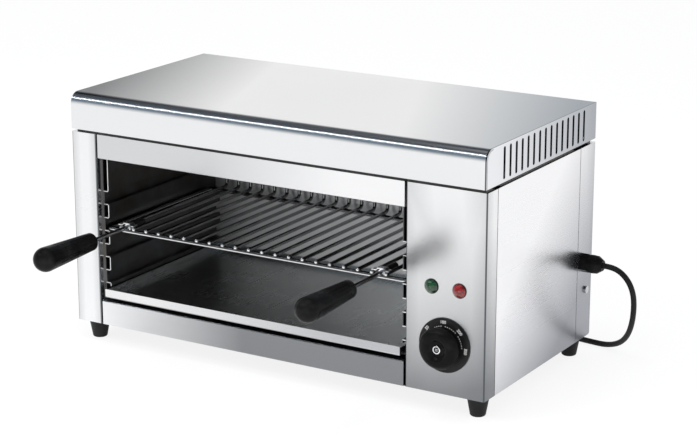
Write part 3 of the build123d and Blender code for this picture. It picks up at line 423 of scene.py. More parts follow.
@dataclass(frozen=True)
class Moulding(Finish):
    """Plastic or rubber with a fine moulded texture."""

    color: tuple = (0.012, 0.012, 0.012)
    roughness: float = 0.36
    pits: float = 1500.0
    depth: float = 0.02 * MM
    worn: float = 0.01
    metallic: float = 0.0
    coat: float = 0.0
    gloss: float = 0.5

    def paint(self, s: Shader) -> None:
        """Lay out the nodes."""
        at = s.point(*s.position())
        pits = s.noise(at, self.pits, 2.0)
        rub = s.noise(at, 35.0, 4.0, 0.65).ramp(0.45, 0.8)
        lifted = tuple(min(1.0, c + self.worn + 0.15 * c) for c in self.color)
        values = {
            "Base Color": s.mix(rub, self.color, lifted),
            "Metallic": self.metallic,
            "Roughness": self.roughness + (rub - 0.5) * 0.1 + (pits - 0.5) * 0.12,
            "Specular IOR Level": self.gloss,
            "Normal": s.bump(pits, self.depth),
        }
        if self.coat:
            values["Coat Weight"] = self.coat
        s.surface(values)


@dataclass(frozen=True)
class LampPlastic(Finish):
    """Clear tinted plastic of a pilot lamp."""

    color: tuple
    deep: tuple

    def paint(self, s: Shader) -> None:
        """Lay out the nodes."""
        at = s.point(*s.position())
        cells = s.out("ShaderNodeTexVoronoi", {"Vector": at, "Scale": 420.0}, "Distance")
        glint = s.noise(at, 300.0, 2.0)
        s.surface({
            "Base Color": s.mix(cells.ramp(0.1, 0.75), self.color, self.deep),
            "Roughness": 0.12 + glint * 0.06,
            "Coat Weight": 0.8,
            "Normal": s.bump(cells, 0.35 * MM, 0.5),
        })


# --- repeated small shapes
class Repeat(Tree):
    """A Geometry Nodes tree that repeats a small bead along a line or round an axis."""

    def __init__(self, name: str, ring: bool) -> None:
        """Build the tree.

        Args:
            name: The tree's name.
            ring: True for a ring of beads round an axis, false for a row of them.
        """
        self.tree = bpy.data.node_groups.new(name, "GeometryNodeTree")
        self.ids: dict[str, str] = {}
        kinds = {"Count": "Int", "Size": "Vector", "Start": "Vector", "Step": "Vector",
                 "Finish": "Material"}
        for label, kind in kinds.items():
            self.ids[label] = self._socket(label, "INPUT", kind)
        self._socket("Geometry", "OUTPUT", "Geometry")
        self.entry = self.tree.nodes.new("NodeGroupInput")
        if ring:
            self._ring()
        else:
            self._row()

    def _socket(self, label: str, way: str, kind: str) -> str:
        """Add a named input or output and give its identifier."""
        interface = self.tree.interface
        return interface.new_socket(label, in_out=way, socket_type="NodeSocket" + kind).identifier

    def _finish(self, points: bpy.types.NodeSocket, shape: bpy.types.NodeSocket,
                turn: bpy.types.NodeSocket | None) -> None:
        """Place the shape on every point, then make the result plain."""
        values = {"Points": points, "Instance": shape}
        if turn is not None:
            values["Rotation"] = turn
        placed = self.node("GeometryNodeInstanceOnPoints", values)
        real = self.node("GeometryNodeRealizeInstances", {0: placed.outputs[0]})
        finish = {"Geometry": real.outputs[0], "Material": self.entry.outputs["Finish"]}
        dressed = self.node("GeometryNodeSetMaterial", finish)
        self.node("NodeGroupOutput", {0: dressed.outputs[0]})

    def _ball(self, segments: int, rings: int) -> bpy.types.NodeSocket:
        """A smooth ball stretched to Size."""
        sizes = {"Segments": segments, "Rings": rings, "Radius": 0.5}
        ball = self.node("GeometryNodeMeshUVSphere", sizes)
        stretch = {0: ball.outputs[0], "Scale": self.entry.outputs["Size"]}
        shaped = self.node("GeometryNodeTransform", stretch)
        return self.node("GeometryNodeSetShadeSmooth", {0: shaped.outputs[0]}).outputs[0]

    def _row(self) -> None:
        """Round beads along a line, at Start + n x Step."""
        out = self.entry.outputs
        line = {"Count": out["Count"], "Start Location": out["Start"], "Offset": out["Step"]}
        points = self.node("GeometryNodeMeshLine", line)
        self._finish(points.outputs[0], self._ball(16, 10), None)

    def _ring(self) -> None:
        """Beads round the X axis through Start, at a radius of Step's length, one full turn."""
        out = self.entry.outputs
        radius = self.node("ShaderNodeVectorMath", {0: out["Step"]}, {"operation": "LENGTH"})
        circle = self.node("GeometryNodeMeshCircle", {
            "Vertices": out["Count"], "Radius": radius.outputs["Value"]})
        upright = self.node("GeometryNodeTransform", {
            0: circle.outputs[0], "Translation": out["Start"],
            "Rotation": (0.0, math.pi / 2, 0.0)})
        index = self.node("GeometryNodeInputIndex", {})
        share = self.node("ShaderNodeMath", {0: index.outputs[0], 1: out["Count"]},
                           {"operation": "DIVIDE"})
        angle = self.node("ShaderNodeMath", {0: share.outputs[0], 1: 2 * math.pi},
                           {"operation": "MULTIPLY"})
        turn = self.node("ShaderNodeCombineXYZ", {0: angle.outputs[0]})
        self._finish(upright.outputs[0], self._ball(10, 8), turn.outputs[0])

    def make(self, name: str, finish: bpy.types.Material, **sizes: object) -> bpy.types.Object:
        """Evaluate the tree once and keep the result as a plain mesh.

        Args:
            name: The piece's name.
            finish: Its material.
            sizes: Values of the tree's named inputs.

        Returns:
            The piece.
        """
        piece = new_object(name, bpy.data.meshes.new(name))
        modifier = piece.modifiers.new("repeat", "NODES")
        modifier.node_group = self.tree
        modifier[self.ids["Finish"]] = finish
        for key, value in sizes.items():
            modifier[self.ids[key]] = value
        graph = bpy.context.evaluated_depsgraph_get()
        mesh = bpy.data.meshes.new_from_object(piece.evaluated_get(graph))
        piece.modifiers.clear()
        piece.data = mesh
        return piece


# --- common workshop
@dataclass
class Workshop:
    """The loaded frame, the finishes and the ways to add and dress pieces."""

    frame: dict
    finishes: dict = field(default_factory=dict)
    made: list = field(default_factory=list)
    merge: float = 0.002 * MM
    row: Repeat = field(init=False)
    ring: Repeat = field(init=False)

    def __post_init__(self) -> None:
        """Build the repeat trees."""
        self.row = Repeat("bead row", ring=False)
        self.ring = Repeat("bead ring", ring=True)

    def finish(self, kind: Finish) -> bpy.types.Material:
        """The material of a finish, built once."""
        if kind.name not in self.finishes:
            self.finishes[kind.name] = kind.build()
        return self.finishes[kind.name]

    def dress(self, kind: Finish, *nodes: str) -> None:
        """Give CAD nodes a finish."""
        material = self.finish(kind)
        for name in nodes:
            data = self.frame["nodes"][name].data
            data.materials.clear()
            data.materials.append(material)

    def add(self, piece: bpy.types.Object, body: str, slot: str) -> bpy.types.Object:
        """Seat a finished piece on its body and note its name."""
        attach(piece, body)
        self.made.append(piece.name)
        return piece

    def from_bmesh(self, name: str, bm: bmesh.types.BMesh, kind: Finish,
                   angle: float = 35.0) -> bpy.types.Object:
        """Make an object from a mesh whose faces may look either way."""
        bmesh.ops.recalc_face_normals(bm, faces=bm.faces)
        return self._object(name, bm, kind, angle)

    def _object(self, name: str, bm: bmesh.types.BMesh, kind: Finish,
                angle: float) -> bpy.types.Object:
        """Make an object from a mesh, smooth except over edges sharper than the angle."""
        limit = math.radians(angle)
        for face in bm.faces:
            face.smooth = True
        for edge in bm.edges:
            edge.smooth = len(edge.link_faces) == 2 and edge.calc_face_angle(0.0) < limit
        mesh = bpy.data.meshes.new(name)
        bm.to_mesh(mesh)
        bm.free()
        mesh.materials.append(self.finish(kind))
        return new_object(name, mesh)

    @staticmethod
    def bar(bm: bmesh.types.BMesh, centre: tuple | Vector, size: tuple) -> None:
        """Add a box to a mesh."""
        place = Matrix.Translation(centre) @ Matrix.Diagonal((*size, 1.0))
        bmesh.ops.create_cube(bm, size=1.0, matrix=place)

    def smooth(self, node: str, name: str, kind: Finish, slot: str,
               angle: float = 35.0) -> bpy.types.Object:
        """Replace a CAD node by a merged copy whose curved faces are shaded smooth."""
        source = self.frame["nodes"][node]
        bm = bmesh.new()
        bm.from_mesh(source.data)
        bmesh.ops.remove_doubles(bm, verts=bm.verts, dist=self.merge)
        piece = self._object(name, bm, kind, angle)
        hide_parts(node)
        return self.add(piece, source["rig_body"], slot)


# --- finishes of this object
# painted shade for dark lines along bends and edges
PAINTED_EDGE_SHADE = (0.05, 0.05, 0.055)
# The brushed steels are one steel; their colours and shades differ as painted light and shade.
STEEL = BrushedSteel("brushed steel", (0.87, 0.875, 0.88), shades=(
    # painted shade, darker towards the bottom and the right
    Shade((0.35, 0.0, -1.0), -0.13, 0.06, (0.13, 0.135, 0.145), 0.85),
    # painted shade along the front right bend
    Shade((1.0, 0.0, 0.0), 0.2882, 0.2888, PAINTED_EDGE_SHADE, 0.85, Facing.Y),
))
POST_STEEL = BrushedSteel("brushed post steel", (0.88, 0.885, 0.89))
SKIRT_STEEL = BrushedSteel("brushed skirt steel", (0.86, 0.865, 0.87), shades=(
    # painted shade, darker towards the right
    Shade((1.0, 0.0, 0.0), -0.26, -0.04, (0.19, 0.195, 0.205), 0.92),
))
HEADER_STEEL = BrushedSteel("brushed header steel", (0.9, 0.9, 0.905), shades=(
    # painted shade, darker towards the left
    Shade((-1.0, 0.0, 0.0), -0.10, 0.08, (0.62, 0.63, 0.64), 0.9),
))
SIDE_STEEL = BrushedSteel("brushed side steel", (0.93, 0.93, 0.94), roughness=0.28,
                          inner=288.9 * MM, shades=(
    # painted shade on the side faces, darker towards the rear and the bottom
    Shade((0.0, 0.9, -1.0), -0.14, 0.08, (0.31, 0.32, 0.35), 0.95, Facing.X),
))
LID_STEEL = BrushedSteel("brushed lid steel", (0.99, 0.99, 0.99), grain=Grain.LID,
                         roughness=0.2, shades=(
    # painted shade: the top darker at the front left and blue-grey at the right back
    Shade((-1.0, -0.35, 0.0), 0.09, 0.285, (0.02, 0.03, 0.035), 0.95, Facing.Z),
    Shade((1.0, 0.45, 0.0), 0.15, 0.37, (0.20, 0.25, 0.30), 0.95, Facing.Z),
    # painted shade: the front face and the side faces darker than the top
    Shade((0.0, 0.0, 1.0), 0.1, 0.2, (0.80, 0.81, 0.82), 1.0, Facing.Y),
    Shade((0.0, 0.0, 1.0), 0.1, 0.2, (0.82, 0.83, 0.85), 1.0, Facing.X),
    # painted shade: the side faces darker towards the rear
    Shade((0.0, 1.0, 0.0), -0.04, 0.22, (0.32, 0.34, 0.37), 0.9, Facing.X),
    # painted shade: dark lines along the right-hand front corner and top edge
    Shade((1.0, 0.0, 0.0), 0.2866, 0.2870, PAINTED_EDGE_SHADE, 0.9, Facing.Y),
    Shade((1.0, 0.0, 0.0), 0.2872, 0.2878, PAINTED_EDGE_SHADE, 0.8, Facing.Z),
))
LINING = ScorchedSteel("scorched lining")
# painted light: the back wall lighter towards the right and the bottom
BACK_WALL = ScorchedSteel("back wall steel", (0.20, 0.20, 0.20), tint=(0.17, 0.17, 0.17),
                          roughness=0.5, metallic=0.1, shades=(
    Shade((1.0, 0.0, -0.3), -0.34, 0.10, (0.95, 0.96, 0.96), 0.95),
))
# painted light: the tray lighter towards the right
TRAY = ScorchedSteel("tray steel", (0.48, 0.49, 0.49), tint=(0.47, 0.48, 0.48),
                     roughness=0.28, shades=(
    Shade((1.0, 0.3, 0.0), 0.02, 0.24, (0.8, 0.83, 0.85), 0.9),
))
# painted shade, darker towards the right
LIP = BrushedSteel("brushed tray lip", (0.8, 0.8, 0.8), shades=(
    Shade((1.0, 0.0, 0.0), -0.18, 0.10, (0.48, 0.485, 0.5), 0.95),
))
EDGE = BrightRod("sheared edge", (0.9, 0.9, 0.9), roughness=0.22)
ROD = BrightRod("plated rod", (0.6, 0.605, 0.61))
# the front rail's top gets painted shade above this height
RAIL = BrightRod("front rail", (0.8, 0.8, 0.8), roughness=0.1, top_shade_above=148.6 * MM)
# painted shade: a darker copy of the plated rod, for the wires inside the cavity
WIRE_ROD = BrightRod("wire rod", (0.26, 0.26, 0.265), roughness=0.12)
# painted shade: the weld beads near black, for the shade between the rail and the wire tips
WELD = BrightRod("weld bead", (0.07, 0.07, 0.07), roughness=0.45)
ELEMENT = Moulding("element sheath", (0.09, 0.08, 0.075), roughness=0.45, metallic=0.8)
PLASTIC = Moulding("black moulding", (0.005, 0.005, 0.005), roughness=0.26, gloss=0.06)
DIAL = Moulding("dial plate", (0.006, 0.006, 0.006), roughness=0.42, gloss=0.2)
PRINT = Moulding("white print", (0.72, 0.72, 0.70), roughness=0.5, worn=0.0)
RUBBER = Moulding("black rubber", (0.008, 0.008, 0.008), roughness=0.5, pits=900.0, gloss=0.2)
SLEEVE = Moulding("black sleeve", (0.012, 0.012, 0.013), roughness=0.3, metallic=0.4)
WOOL = Moulding("mineral wool", (0.6, 0.55, 0.4), roughness=0.95, pits=260.0, depth=0.6 * MM)
GLAZE = Moulding("glazed ceramic", (0.75, 0.72, 0.66), roughness=0.22, coat=0.4)
NYLON = Moulding("white nylon", (0.7, 0.7, 0.68), roughness=0.45)
WIRE = Moulding("woven sleeve", (0.34, 0.05, 0.04), roughness=0.7, pits=1100.0,
                depth=0.1 * MM)
PLATED = Moulding("plated case", (0.5, 0.5, 0.5), roughness=0.35, metallic=0.9)
COPPER = Moulding("copper tube", (0.62, 0.33, 0.2), roughness=0.3, metallic=1.0)
BRASS = BrightRod("brass pins", (0.78, 0.6, 0.3), roughness=0.2)
GREEN = LampPlastic("green lamp", (0.008, 0.07, 0.018), (0.002, 0.015, 0.005))
RED = LampPlastic("red lamp", (0.28, 0.008, 0.01), (0.07, 0.003, 0.004))


# --- sub-assemblies
@dataclass
class Casing:
    """Outer sheets, lid, feet and their screws."""

    shop: Workshop
    baffle_sheet: float = 1.0 * MM
    baffle_inset: float = 12.0 * MM
    baffle_back: float = 9.0 * MM
    baffle_lift: float = 0.2 * MM
    baffle_room: float = 2.5 * MM

    def build(self) -> None:
        """Dress the sheets and round off the pieces with curved faces."""
        shop = self.shop
        # the y of the seams, where the side panels get painted shade lines
        seams = (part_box("control_panel")[1].y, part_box("rear_cover")[0].y)
        joined = replace(SIDE_STEEL, name="brushed side panel", seams=seams)
        shop.dress(joined, "left_side_panel", "right_side_panel")
        shop.dress(LINING, "lid_brackets", "top_plate", "base_plate", "foot_screws")
        fronts = {"left_post": POST_STEEL, "control_panel": STEEL, "header_panel": HEADER_STEEL,
                  "front_skirt": SKIRT_STEEL}
        for node, steel in fronts.items():
            shop.smooth(node, node + "_sheet", steel, "steel")
        shop.smooth("rear_cover", "rear_cover_sheet", SIDE_STEEL, "steel")
        shop.smooth("top_cover", "top_cover_sheet", LID_STEEL, "steel")
        for place in ("front_left", "front_right", "rear_left", "rear_right"):
            shop.smooth("foot_" + place, "foot_rubber_" + place, RUBBER, "rubber")
        shop.smooth("bonding_screw", "bonding_screw_head", ROD, "chrome")
        shop.smooth("rear_screws", "rear_screw_heads", ROD, "chrome")
        self.baffle()

    def baffle(self) -> None:
        """A sheet inside the lid, in front of the gap along its rear edge, to shade the slots."""
        low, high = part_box("top_cover")
        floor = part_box("top_plate")[1].z
        size = (high.x - low.x - 2 * self.baffle_inset, self.baffle_sheet,
                high.z - floor - self.baffle_room)
        centre = ((low.x + high.x) / 2, high.y - self.baffle_back,
                  floor + self.baffle_lift + size[2] / 2)
        # a dark sheet put where the lid's slots should show shade
        bm = bmesh.new()
        self.shop.bar(bm, centre, size)
        self.shop.add(self.shop.from_bmesh("lid_baffle", bm, LINING), "case", "inner_steel")


@dataclass
class Cavity:
    """Linings, guides, elements and the tray."""

    shop: Workshop
    lip_face: float = 0.15 * MM
    lip_bare: float = 1.5 * MM
    edge: float = 0.25 * MM
    sheet: float = 1.0 * MM
    grooves: int = 4
    first_floor: float = 78.0 * MM
    pitch: float = 34.0 * MM
    height: float = 15.8 * MM

    def build(self) -> None:
        """Dress the inner sheets."""
        shop = self.shop
        shop.dress(LINING, "left_inner_wall", "right_inner_wall", "left_rack_guide",
                   "right_rack_guide", "reflector", "element_supports", "tray_runners")
        shop.dress(BACK_WALL, "cavity_back")
        shop.dress(WOOL, "insulation")
        shop.dress(GLAZE, "element_bushes", "terminal_block")
        shop.dress(TRAY, "crumb_tray")
        self.tray_lip()
        for node in ("front_element", "rear_element"):
            shop.smooth(node, node + "_tube", ELEMENT, "element")
        # painted highlight: bright upright edges on the lit left guide only
        self.guide_edges("left", True)
        self.guide_edges("right", False)

    def tray_lip(self) -> None:
        """A thin brushed face on the front of the tray's lip."""
        low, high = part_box("crumb_tray")
        foot = low.z + self.lip_bare
        size = (high.x - low.x, self.lip_face, high.z - foot)
        centre = ((low.x + high.x) / 2, low.y - self.lip_face / 2, (foot + high.z) / 2)
        bm = bmesh.new()
        self.shop.bar(bm, centre, size)
        self.shop.add(self.shop.from_bmesh("tray_lip_face", bm, LIP), "tray", "steel")

    def guide_edges(self, side: str, ridges: bool) -> None:
        """The bright sheared edges at the front of a rack guide.

        Args:
            side: left or right.
            ridges: True where the uprights are bright too, as a painted highlight.
        """
        low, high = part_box(side + "_rack_guide")
        near, far = (high.x, low.x) if side == "left" else (low.x, high.x)
        ridge = near - math.copysign(self.sheet, near - far)
        bars = []
        foot = low.z
        for i in range(self.grooves):
            floor = self.first_floor + i * self.pitch
            roof = floor + self.height
            bars += [(near, far, floor - self.sheet, floor), (near, far, roof, roof + self.sheet)]
            if ridges:
                bars.append((near, ridge, foot, floor))
            foot = roof
        if ridges:
            bars.append((near, ridge, foot, high.z))
        bm = bmesh.new()
        for x0, x1, z0, z1 in bars:
            size = (abs(x1 - x0), self.edge, z1 - z0)
            centre = ((x0 + x1) / 2, low.y - self.edge / 2, (z0 + z1) / 2)
            self.shop.bar(bm, centre, size)
        piece = self.shop.from_bmesh(side + "_guide_edges", bm, EDGE)
        self.shop.add(piece, "case", "steel")


@dataclass
class Rack:
    """The wire rack and its welds."""

    shop: Workshop
    wires: int = 21
    pitch: float = 19.0 * MM
    wire_r: float = 2.3 * MM
    weld: tuple = (6.0 * MM, 3.0 * MM, 1.2 * MM)

    def build(self) -> None:
        """Smooth the rods, round the wires' ends and add the weld beads."""
        shop = self.shop
        shop.smooth("rack_frame", "rack_frame_plated", RAIL, "chrome")
        for node in ("rack_rear_rail", "rack_wires"):
            shop.smooth(node, node + "_plated", WIRE_ROD, "chrome")
        low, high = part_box("rack_wires")
        frame_low, frame_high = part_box("rack_frame")
        first = (low.x + high.x) / 2 - (self.wires - 1) / 2 * self.pitch
        height = low.z + self.wire_r
        step = (self.pitch, 0.0, 0.0)
        # painted highlight: the wires' round ends take the bright finish while the wires take the
        # darker one
        tips = shop.row.make("wire_tips", shop.finish(EDGE), Count=self.wires, Step=step,
                             Size=(2 * self.wire_r,) * 3, Start=(first, low.y, height))
        shop.add(tips, "rack", "chrome")
        rail_r = (frame_high.z - frame_low.z) / 2
        # the weld beads carry painted shade between the rail and the wire tips
        for name, y in (("front", frame_low.y + rail_r), ("rear", frame_high.y - rail_r)):
            beads = shop.row.make(name + "_rail_welds", shop.finish(WELD), Count=self.wires,
                                  Step=step, Size=self.weld, Start=(first, y, frame_high.z))
            shop.add(beads, "rack", "chrome")


@dataclass
class Handle:
    """One handle: strap, rod, collar and fluted grip."""

    shop: Workshop
    side: str
    depth: float = 9.0 * MM
    sheet: float = 1.2 * MM
    inset: float = 1.0 * MM
    lift: float = 0.1 * MM
    wire_d: float = 4.6 * MM
    outline: tuple = ((-12.5, 0), (-6.5, 0), (-4.6, 1), (4.6, 1), (6.5, 0), (10.0, 0))

    def build(self) -> None:
        """Dress the handle's pieces."""
        shop, side = self.shop, self.side
        shop.smooth(side + "_handle_strap", side + "_strap_plated", EDGE, "chrome")
        shop.smooth(side + "_handle_rod", side + "_rod_plated", ROD, "chrome")
        shop.smooth(side + "_handle_collar", side + "_collar_black", SLEEVE, "black_steel")
        shop.smooth(side + "_grip", side + "_grip_moulded", PLASTIC, "black_plastic", 50.0)
        self.saddle()

    def saddle(self) -> None:
        """The bright strip over the rod, welded to the wires on both sides of it.

        Outline gives each corner's x from the rod in millimetres, and 1 where the strip lies
        over the rod or 0 where it lies on the wires.
        """
        rod_low, rod_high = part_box(self.side + "_handle_rod")
        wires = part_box("rack_wires")
        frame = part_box("rack_frame")
        middle = (rod_low.x + rod_high.x) / 2
        tops = (frame[1].z + self.wire_d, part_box(self.side + "_handle_strap")[1].z)
        y0 = wires[0].y + self.inset
        y1 = y0 + self.depth
        bm = bmesh.new()
        rows = []
        for x, over in self.outline:
            low = tops[over] + self.lift
            high = low + self.sheet
            corners = ((y0, low), (y1, low), (y1, high), (y0, high))
            rows.append([bm.verts.new((middle + x * MM, y, h)) for y, h in corners])
        for before, after in zip(rows, rows[1:]):
            for i in range(4):
                j = (i + 1) % 4
                bm.faces.new((before[i], before[j], after[j], after[i]))
        bm.faces.new(rows[0])
        bm.faces.new(rows[-1][::-1])
        piece = self.shop.from_bmesh(self.side + "_handle_saddle", bm, EDGE, 50.0)
        self.shop.add(piece, "rack", "chrome")


@dataclass
class Controls:
    """Dial, knob and pilot lamps.

    Mark and rim are profiles of (radius, height) in millimetres, and so are the lengths of the
    ring, the core and the mark that stand without MM.
    """

    shop: Workshop
    number_r: float = 28.2 * MM
    number_size: float = 5.2 * MM
    relief: float = 0.04 * MM
    numbers: tuple = (("50", -50.0), ("100", -2.0), ("200", 46.0), ("300", 94.0), ("0", 202.0))
    span: float = 48.0
    parts: int = 7
    dot_r: float = 23.4 * MM
    dot_size: float = 1.2 * MM
    dot_lift: float = 0.03 * MM
    lone_dot: float = 187.0
    ring_wall: float = 1.7
    core_gap: float = 0.05
    bar_size: tuple = (3.2 * MM, 0.2 * MM, 0.7 * MM)
    bar_off: float = 0.9 * MM
    mark: tuple = ((24.95, 10.4), (24.2, 12.4), (22.4, 14.9))
    mark_lift: float = 0.12
    mark_half: float = 0.6
    rim: tuple = ((0.1, 0.0), (0.7, 0.0), (0.7, 0.6), (0.4, 1.2), (0.1, 1.3))
    centre: Vector = field(init=False)

    def build(self) -> None:
        """Dress the controls and print the dial."""
        shop = self.shop
        shop.smooth("dial_ring", "dial_plate", DIAL, "black_plastic")
        shop.smooth("knob", "knob_moulded", PLASTIC, "black_plastic", 40.0)
        self.knob_cap()
        shop.smooth("green_lens", "green_lamp_lens", GREEN, "green_lens", 60.0)
        shop.smooth("red_lens", "red_lamp_lens", RED, "red_lens", 60.0)
        shop.dress(NYLON, "lamp_bodies")
        shop.dress(PLATED, "thermostat_body", "thermostat_spindle")
        low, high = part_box("dial_ring")
        self.centre = box_middle(low, high, low.y)
        self.print_dial()
        self.pointer()
        for node in ("green_lens", "red_lens"):
            self.bezel(node)

    def on_dial(self, degrees: float, radius: float, lift: float = 0.0) -> Vector:
        """A point on the dial's face.

        Args:
            degrees: Clockwise from the top.
            radius: From the middle.
            lift: In front of the face.

        Returns:
            The point.
        """
        a = math.radians(degrees)
        return self.centre + Vector((radius * math.sin(a), -lift, radius * math.cos(a)))

    def print_dial(self) -> None:
        """Numbers round the dial, with small dots between them."""
        bm = bmesh.new()
        for text, degrees in self.numbers:
            curve = bpy.data.curves.new("number", "FONT")
            curve.body = text
            curve.size = self.number_size
            curve.align_x = "CENTER"
            curve.align_y = "CENTER"
            curve.extrude = self.relief
            carrier = new_object("number", curve)
            graph = bpy.context.evaluated_depsgraph_get()
            mesh = bpy.data.meshes.new_from_object(carrier.evaluated_get(graph))
            bpy.data.objects.remove(carrier)
            place = Matrix.Translation(self.on_dial(degrees, self.number_r, self.relief))
            turn = Matrix.Rotation(math.radians(degrees), 4, "Y")
            mesh.transform(place @ turn @ Matrix.Rotation(math.pi / 2, 4, "X"))
            bm.from_mesh(mesh)
            bpy.data.meshes.remove(mesh)
        for _, start in self.numbers[:-2]:
            for i in range(1, self.parts):
                self.dot(bm, start + i * self.span / self.parts, self.dot_r)
        self.dot(bm, self.lone_dot, self.number_r)
        piece = self.shop.from_bmesh("dial_numbers", bm, PRINT)
        self.shop.add(piece, "case", "black_plastic")

    def dot(self, bm: bmesh.types.BMesh, degrees: float, radius: float) -> None:
        """A small raised disc on the dial."""
        place = Matrix.Translation(self.on_dial(degrees, radius, self.dot_lift))
        turn = place @ Matrix.Rotation(math.pi / 2, 4, "X")
        bmesh.ops.create_cone(bm, cap_ends=True, segments=12, radius1=self.dot_size / 2,
                              radius2=self.dot_size / 2, depth=2 * self.dot_lift, matrix=turn)

    def knob_cap(self) -> None:
        """The bright ring in the knob's dish, round a dark middle with two bars."""
        low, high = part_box("knob_insert")
        centre = box_middle(low, high, high.y)
        tall = (high.y - low.y) / MM
        radius = (high.x - low.x) / 2 / MM
        inner = radius - self.ring_wall
        ring = [(radius, 0.0), (radius, tall - 0.4), (radius - 0.4, tall), (inner + 0.3, tall),
                (inner, tall - 0.4), (inner, 0.0)]
        bm = bmesh.new()
        self.lathe(bm, centre, ring, 48, True)
        piece = self.shop.from_bmesh("knob_ring", bm, EDGE, 50.0)
        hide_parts("knob_insert")
        self.shop.add(piece, "knob", "chrome")
        plug = inner - self.core_gap
        core = [(plug, 0.0), (plug, tall - 0.7), (plug - 0.5, tall - 0.5)]
        bm = bmesh.new()
        self.lathe(bm, centre, core, 32, False)
        piece = self.shop.from_bmesh("knob_core", bm, SLEEVE, 50.0)
        self.shop.add(piece, "knob", "black_plastic")
        bm = bmesh.new()
        for off in (self.bar_off, -self.bar_off):
            at = centre + Vector((0, -(tall - 0.45) * MM, off))
            self.shop.bar(bm, at, self.bar_size)
        piece = self.shop.from_bmesh("knob_core_marks", bm, ROD)
        self.shop.add(piece, "knob", "chrome")

    def lathe(self, bm: bmesh.types.BMesh, centre: Vector, profile: list, steps: int,
              closed: bool) -> None:
        """Turn a profile of (radius, height) in millimetres round the Y axis.

        Args:
            bm: The mesh to add to.
            centre: The axis's foot; heights go towards -Y.
            profile: The profile's corners.
            steps: Corners round the circle.
            closed: True joins the last corner to the first; else both ends get a cap.
        """
        rings = []
        for i in range(steps):
            a = 2 * math.pi * i / steps
            out = Vector((math.sin(a), 0, math.cos(a)))
            rings.append([bm.verts.new(centre + out * r * MM + Vector((0, -h * MM, 0)))
                          for r, h in profile])
        last = len(profile) if closed else len(profile) - 1
        for i in range(steps):
            here, after = rings[i], rings[(i + 1) % steps]
            for j in range(last):
                k = (j + 1) % len(profile)
                bm.faces.new((here[j], here[k], after[k], after[j]))
        if not closed:
            bm.faces.new([ring[0] for ring in rings])
            bm.faces.new([ring[-1] for ring in rings])

    def pointer(self) -> None:
        """The knob's white mark, on its shoulder."""
        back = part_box("knob")[1].y
        bm = bmesh.new()
        a = math.radians(self.numbers[-1][1])
        out = Vector((math.sin(a), 0, math.cos(a)))
        front = Vector((0, -1, 0))
        axis = Vector((self.centre.x, back, self.centre.z))
        across = out.cross(front)
        rows = []
        for radius, height in self.mark:
            middle = axis + out * (radius + self.mark_lift) * MM + front * height * MM
            rows.append([bm.verts.new(middle + across * w * MM)
                         for w in (-self.mark_half, self.mark_half)])
        for before, after in zip(rows, rows[1:]):
            bm.faces.new((before[0], before[1], after[1], after[0]))
        piece = self.shop.from_bmesh("knob_mark", bm, PRINT)
        solid = piece.modifiers.new("wall", "SOLIDIFY")
        solid.thickness = 0.2 * MM
        self.shop.add(piece, "knob", "black_plastic")

    def bezel(self, node: str) -> None:
        """The thin dark rim round a pilot lamp."""
        low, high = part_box(node)
        centre = box_middle(low, high, high.y)
        radius = (high.x - low.x) / 2
        profile = [(radius / MM + r, h) for r, h in self.rim]
        bm = bmesh.new()
        self.lathe(bm, centre, profile, 48, True)
        piece = self.shop.from_bmesh(node.replace("lens", "lamp_rim"), bm, DIAL, 50.0)
        self.shop.add(piece, "case", "black_plastic")


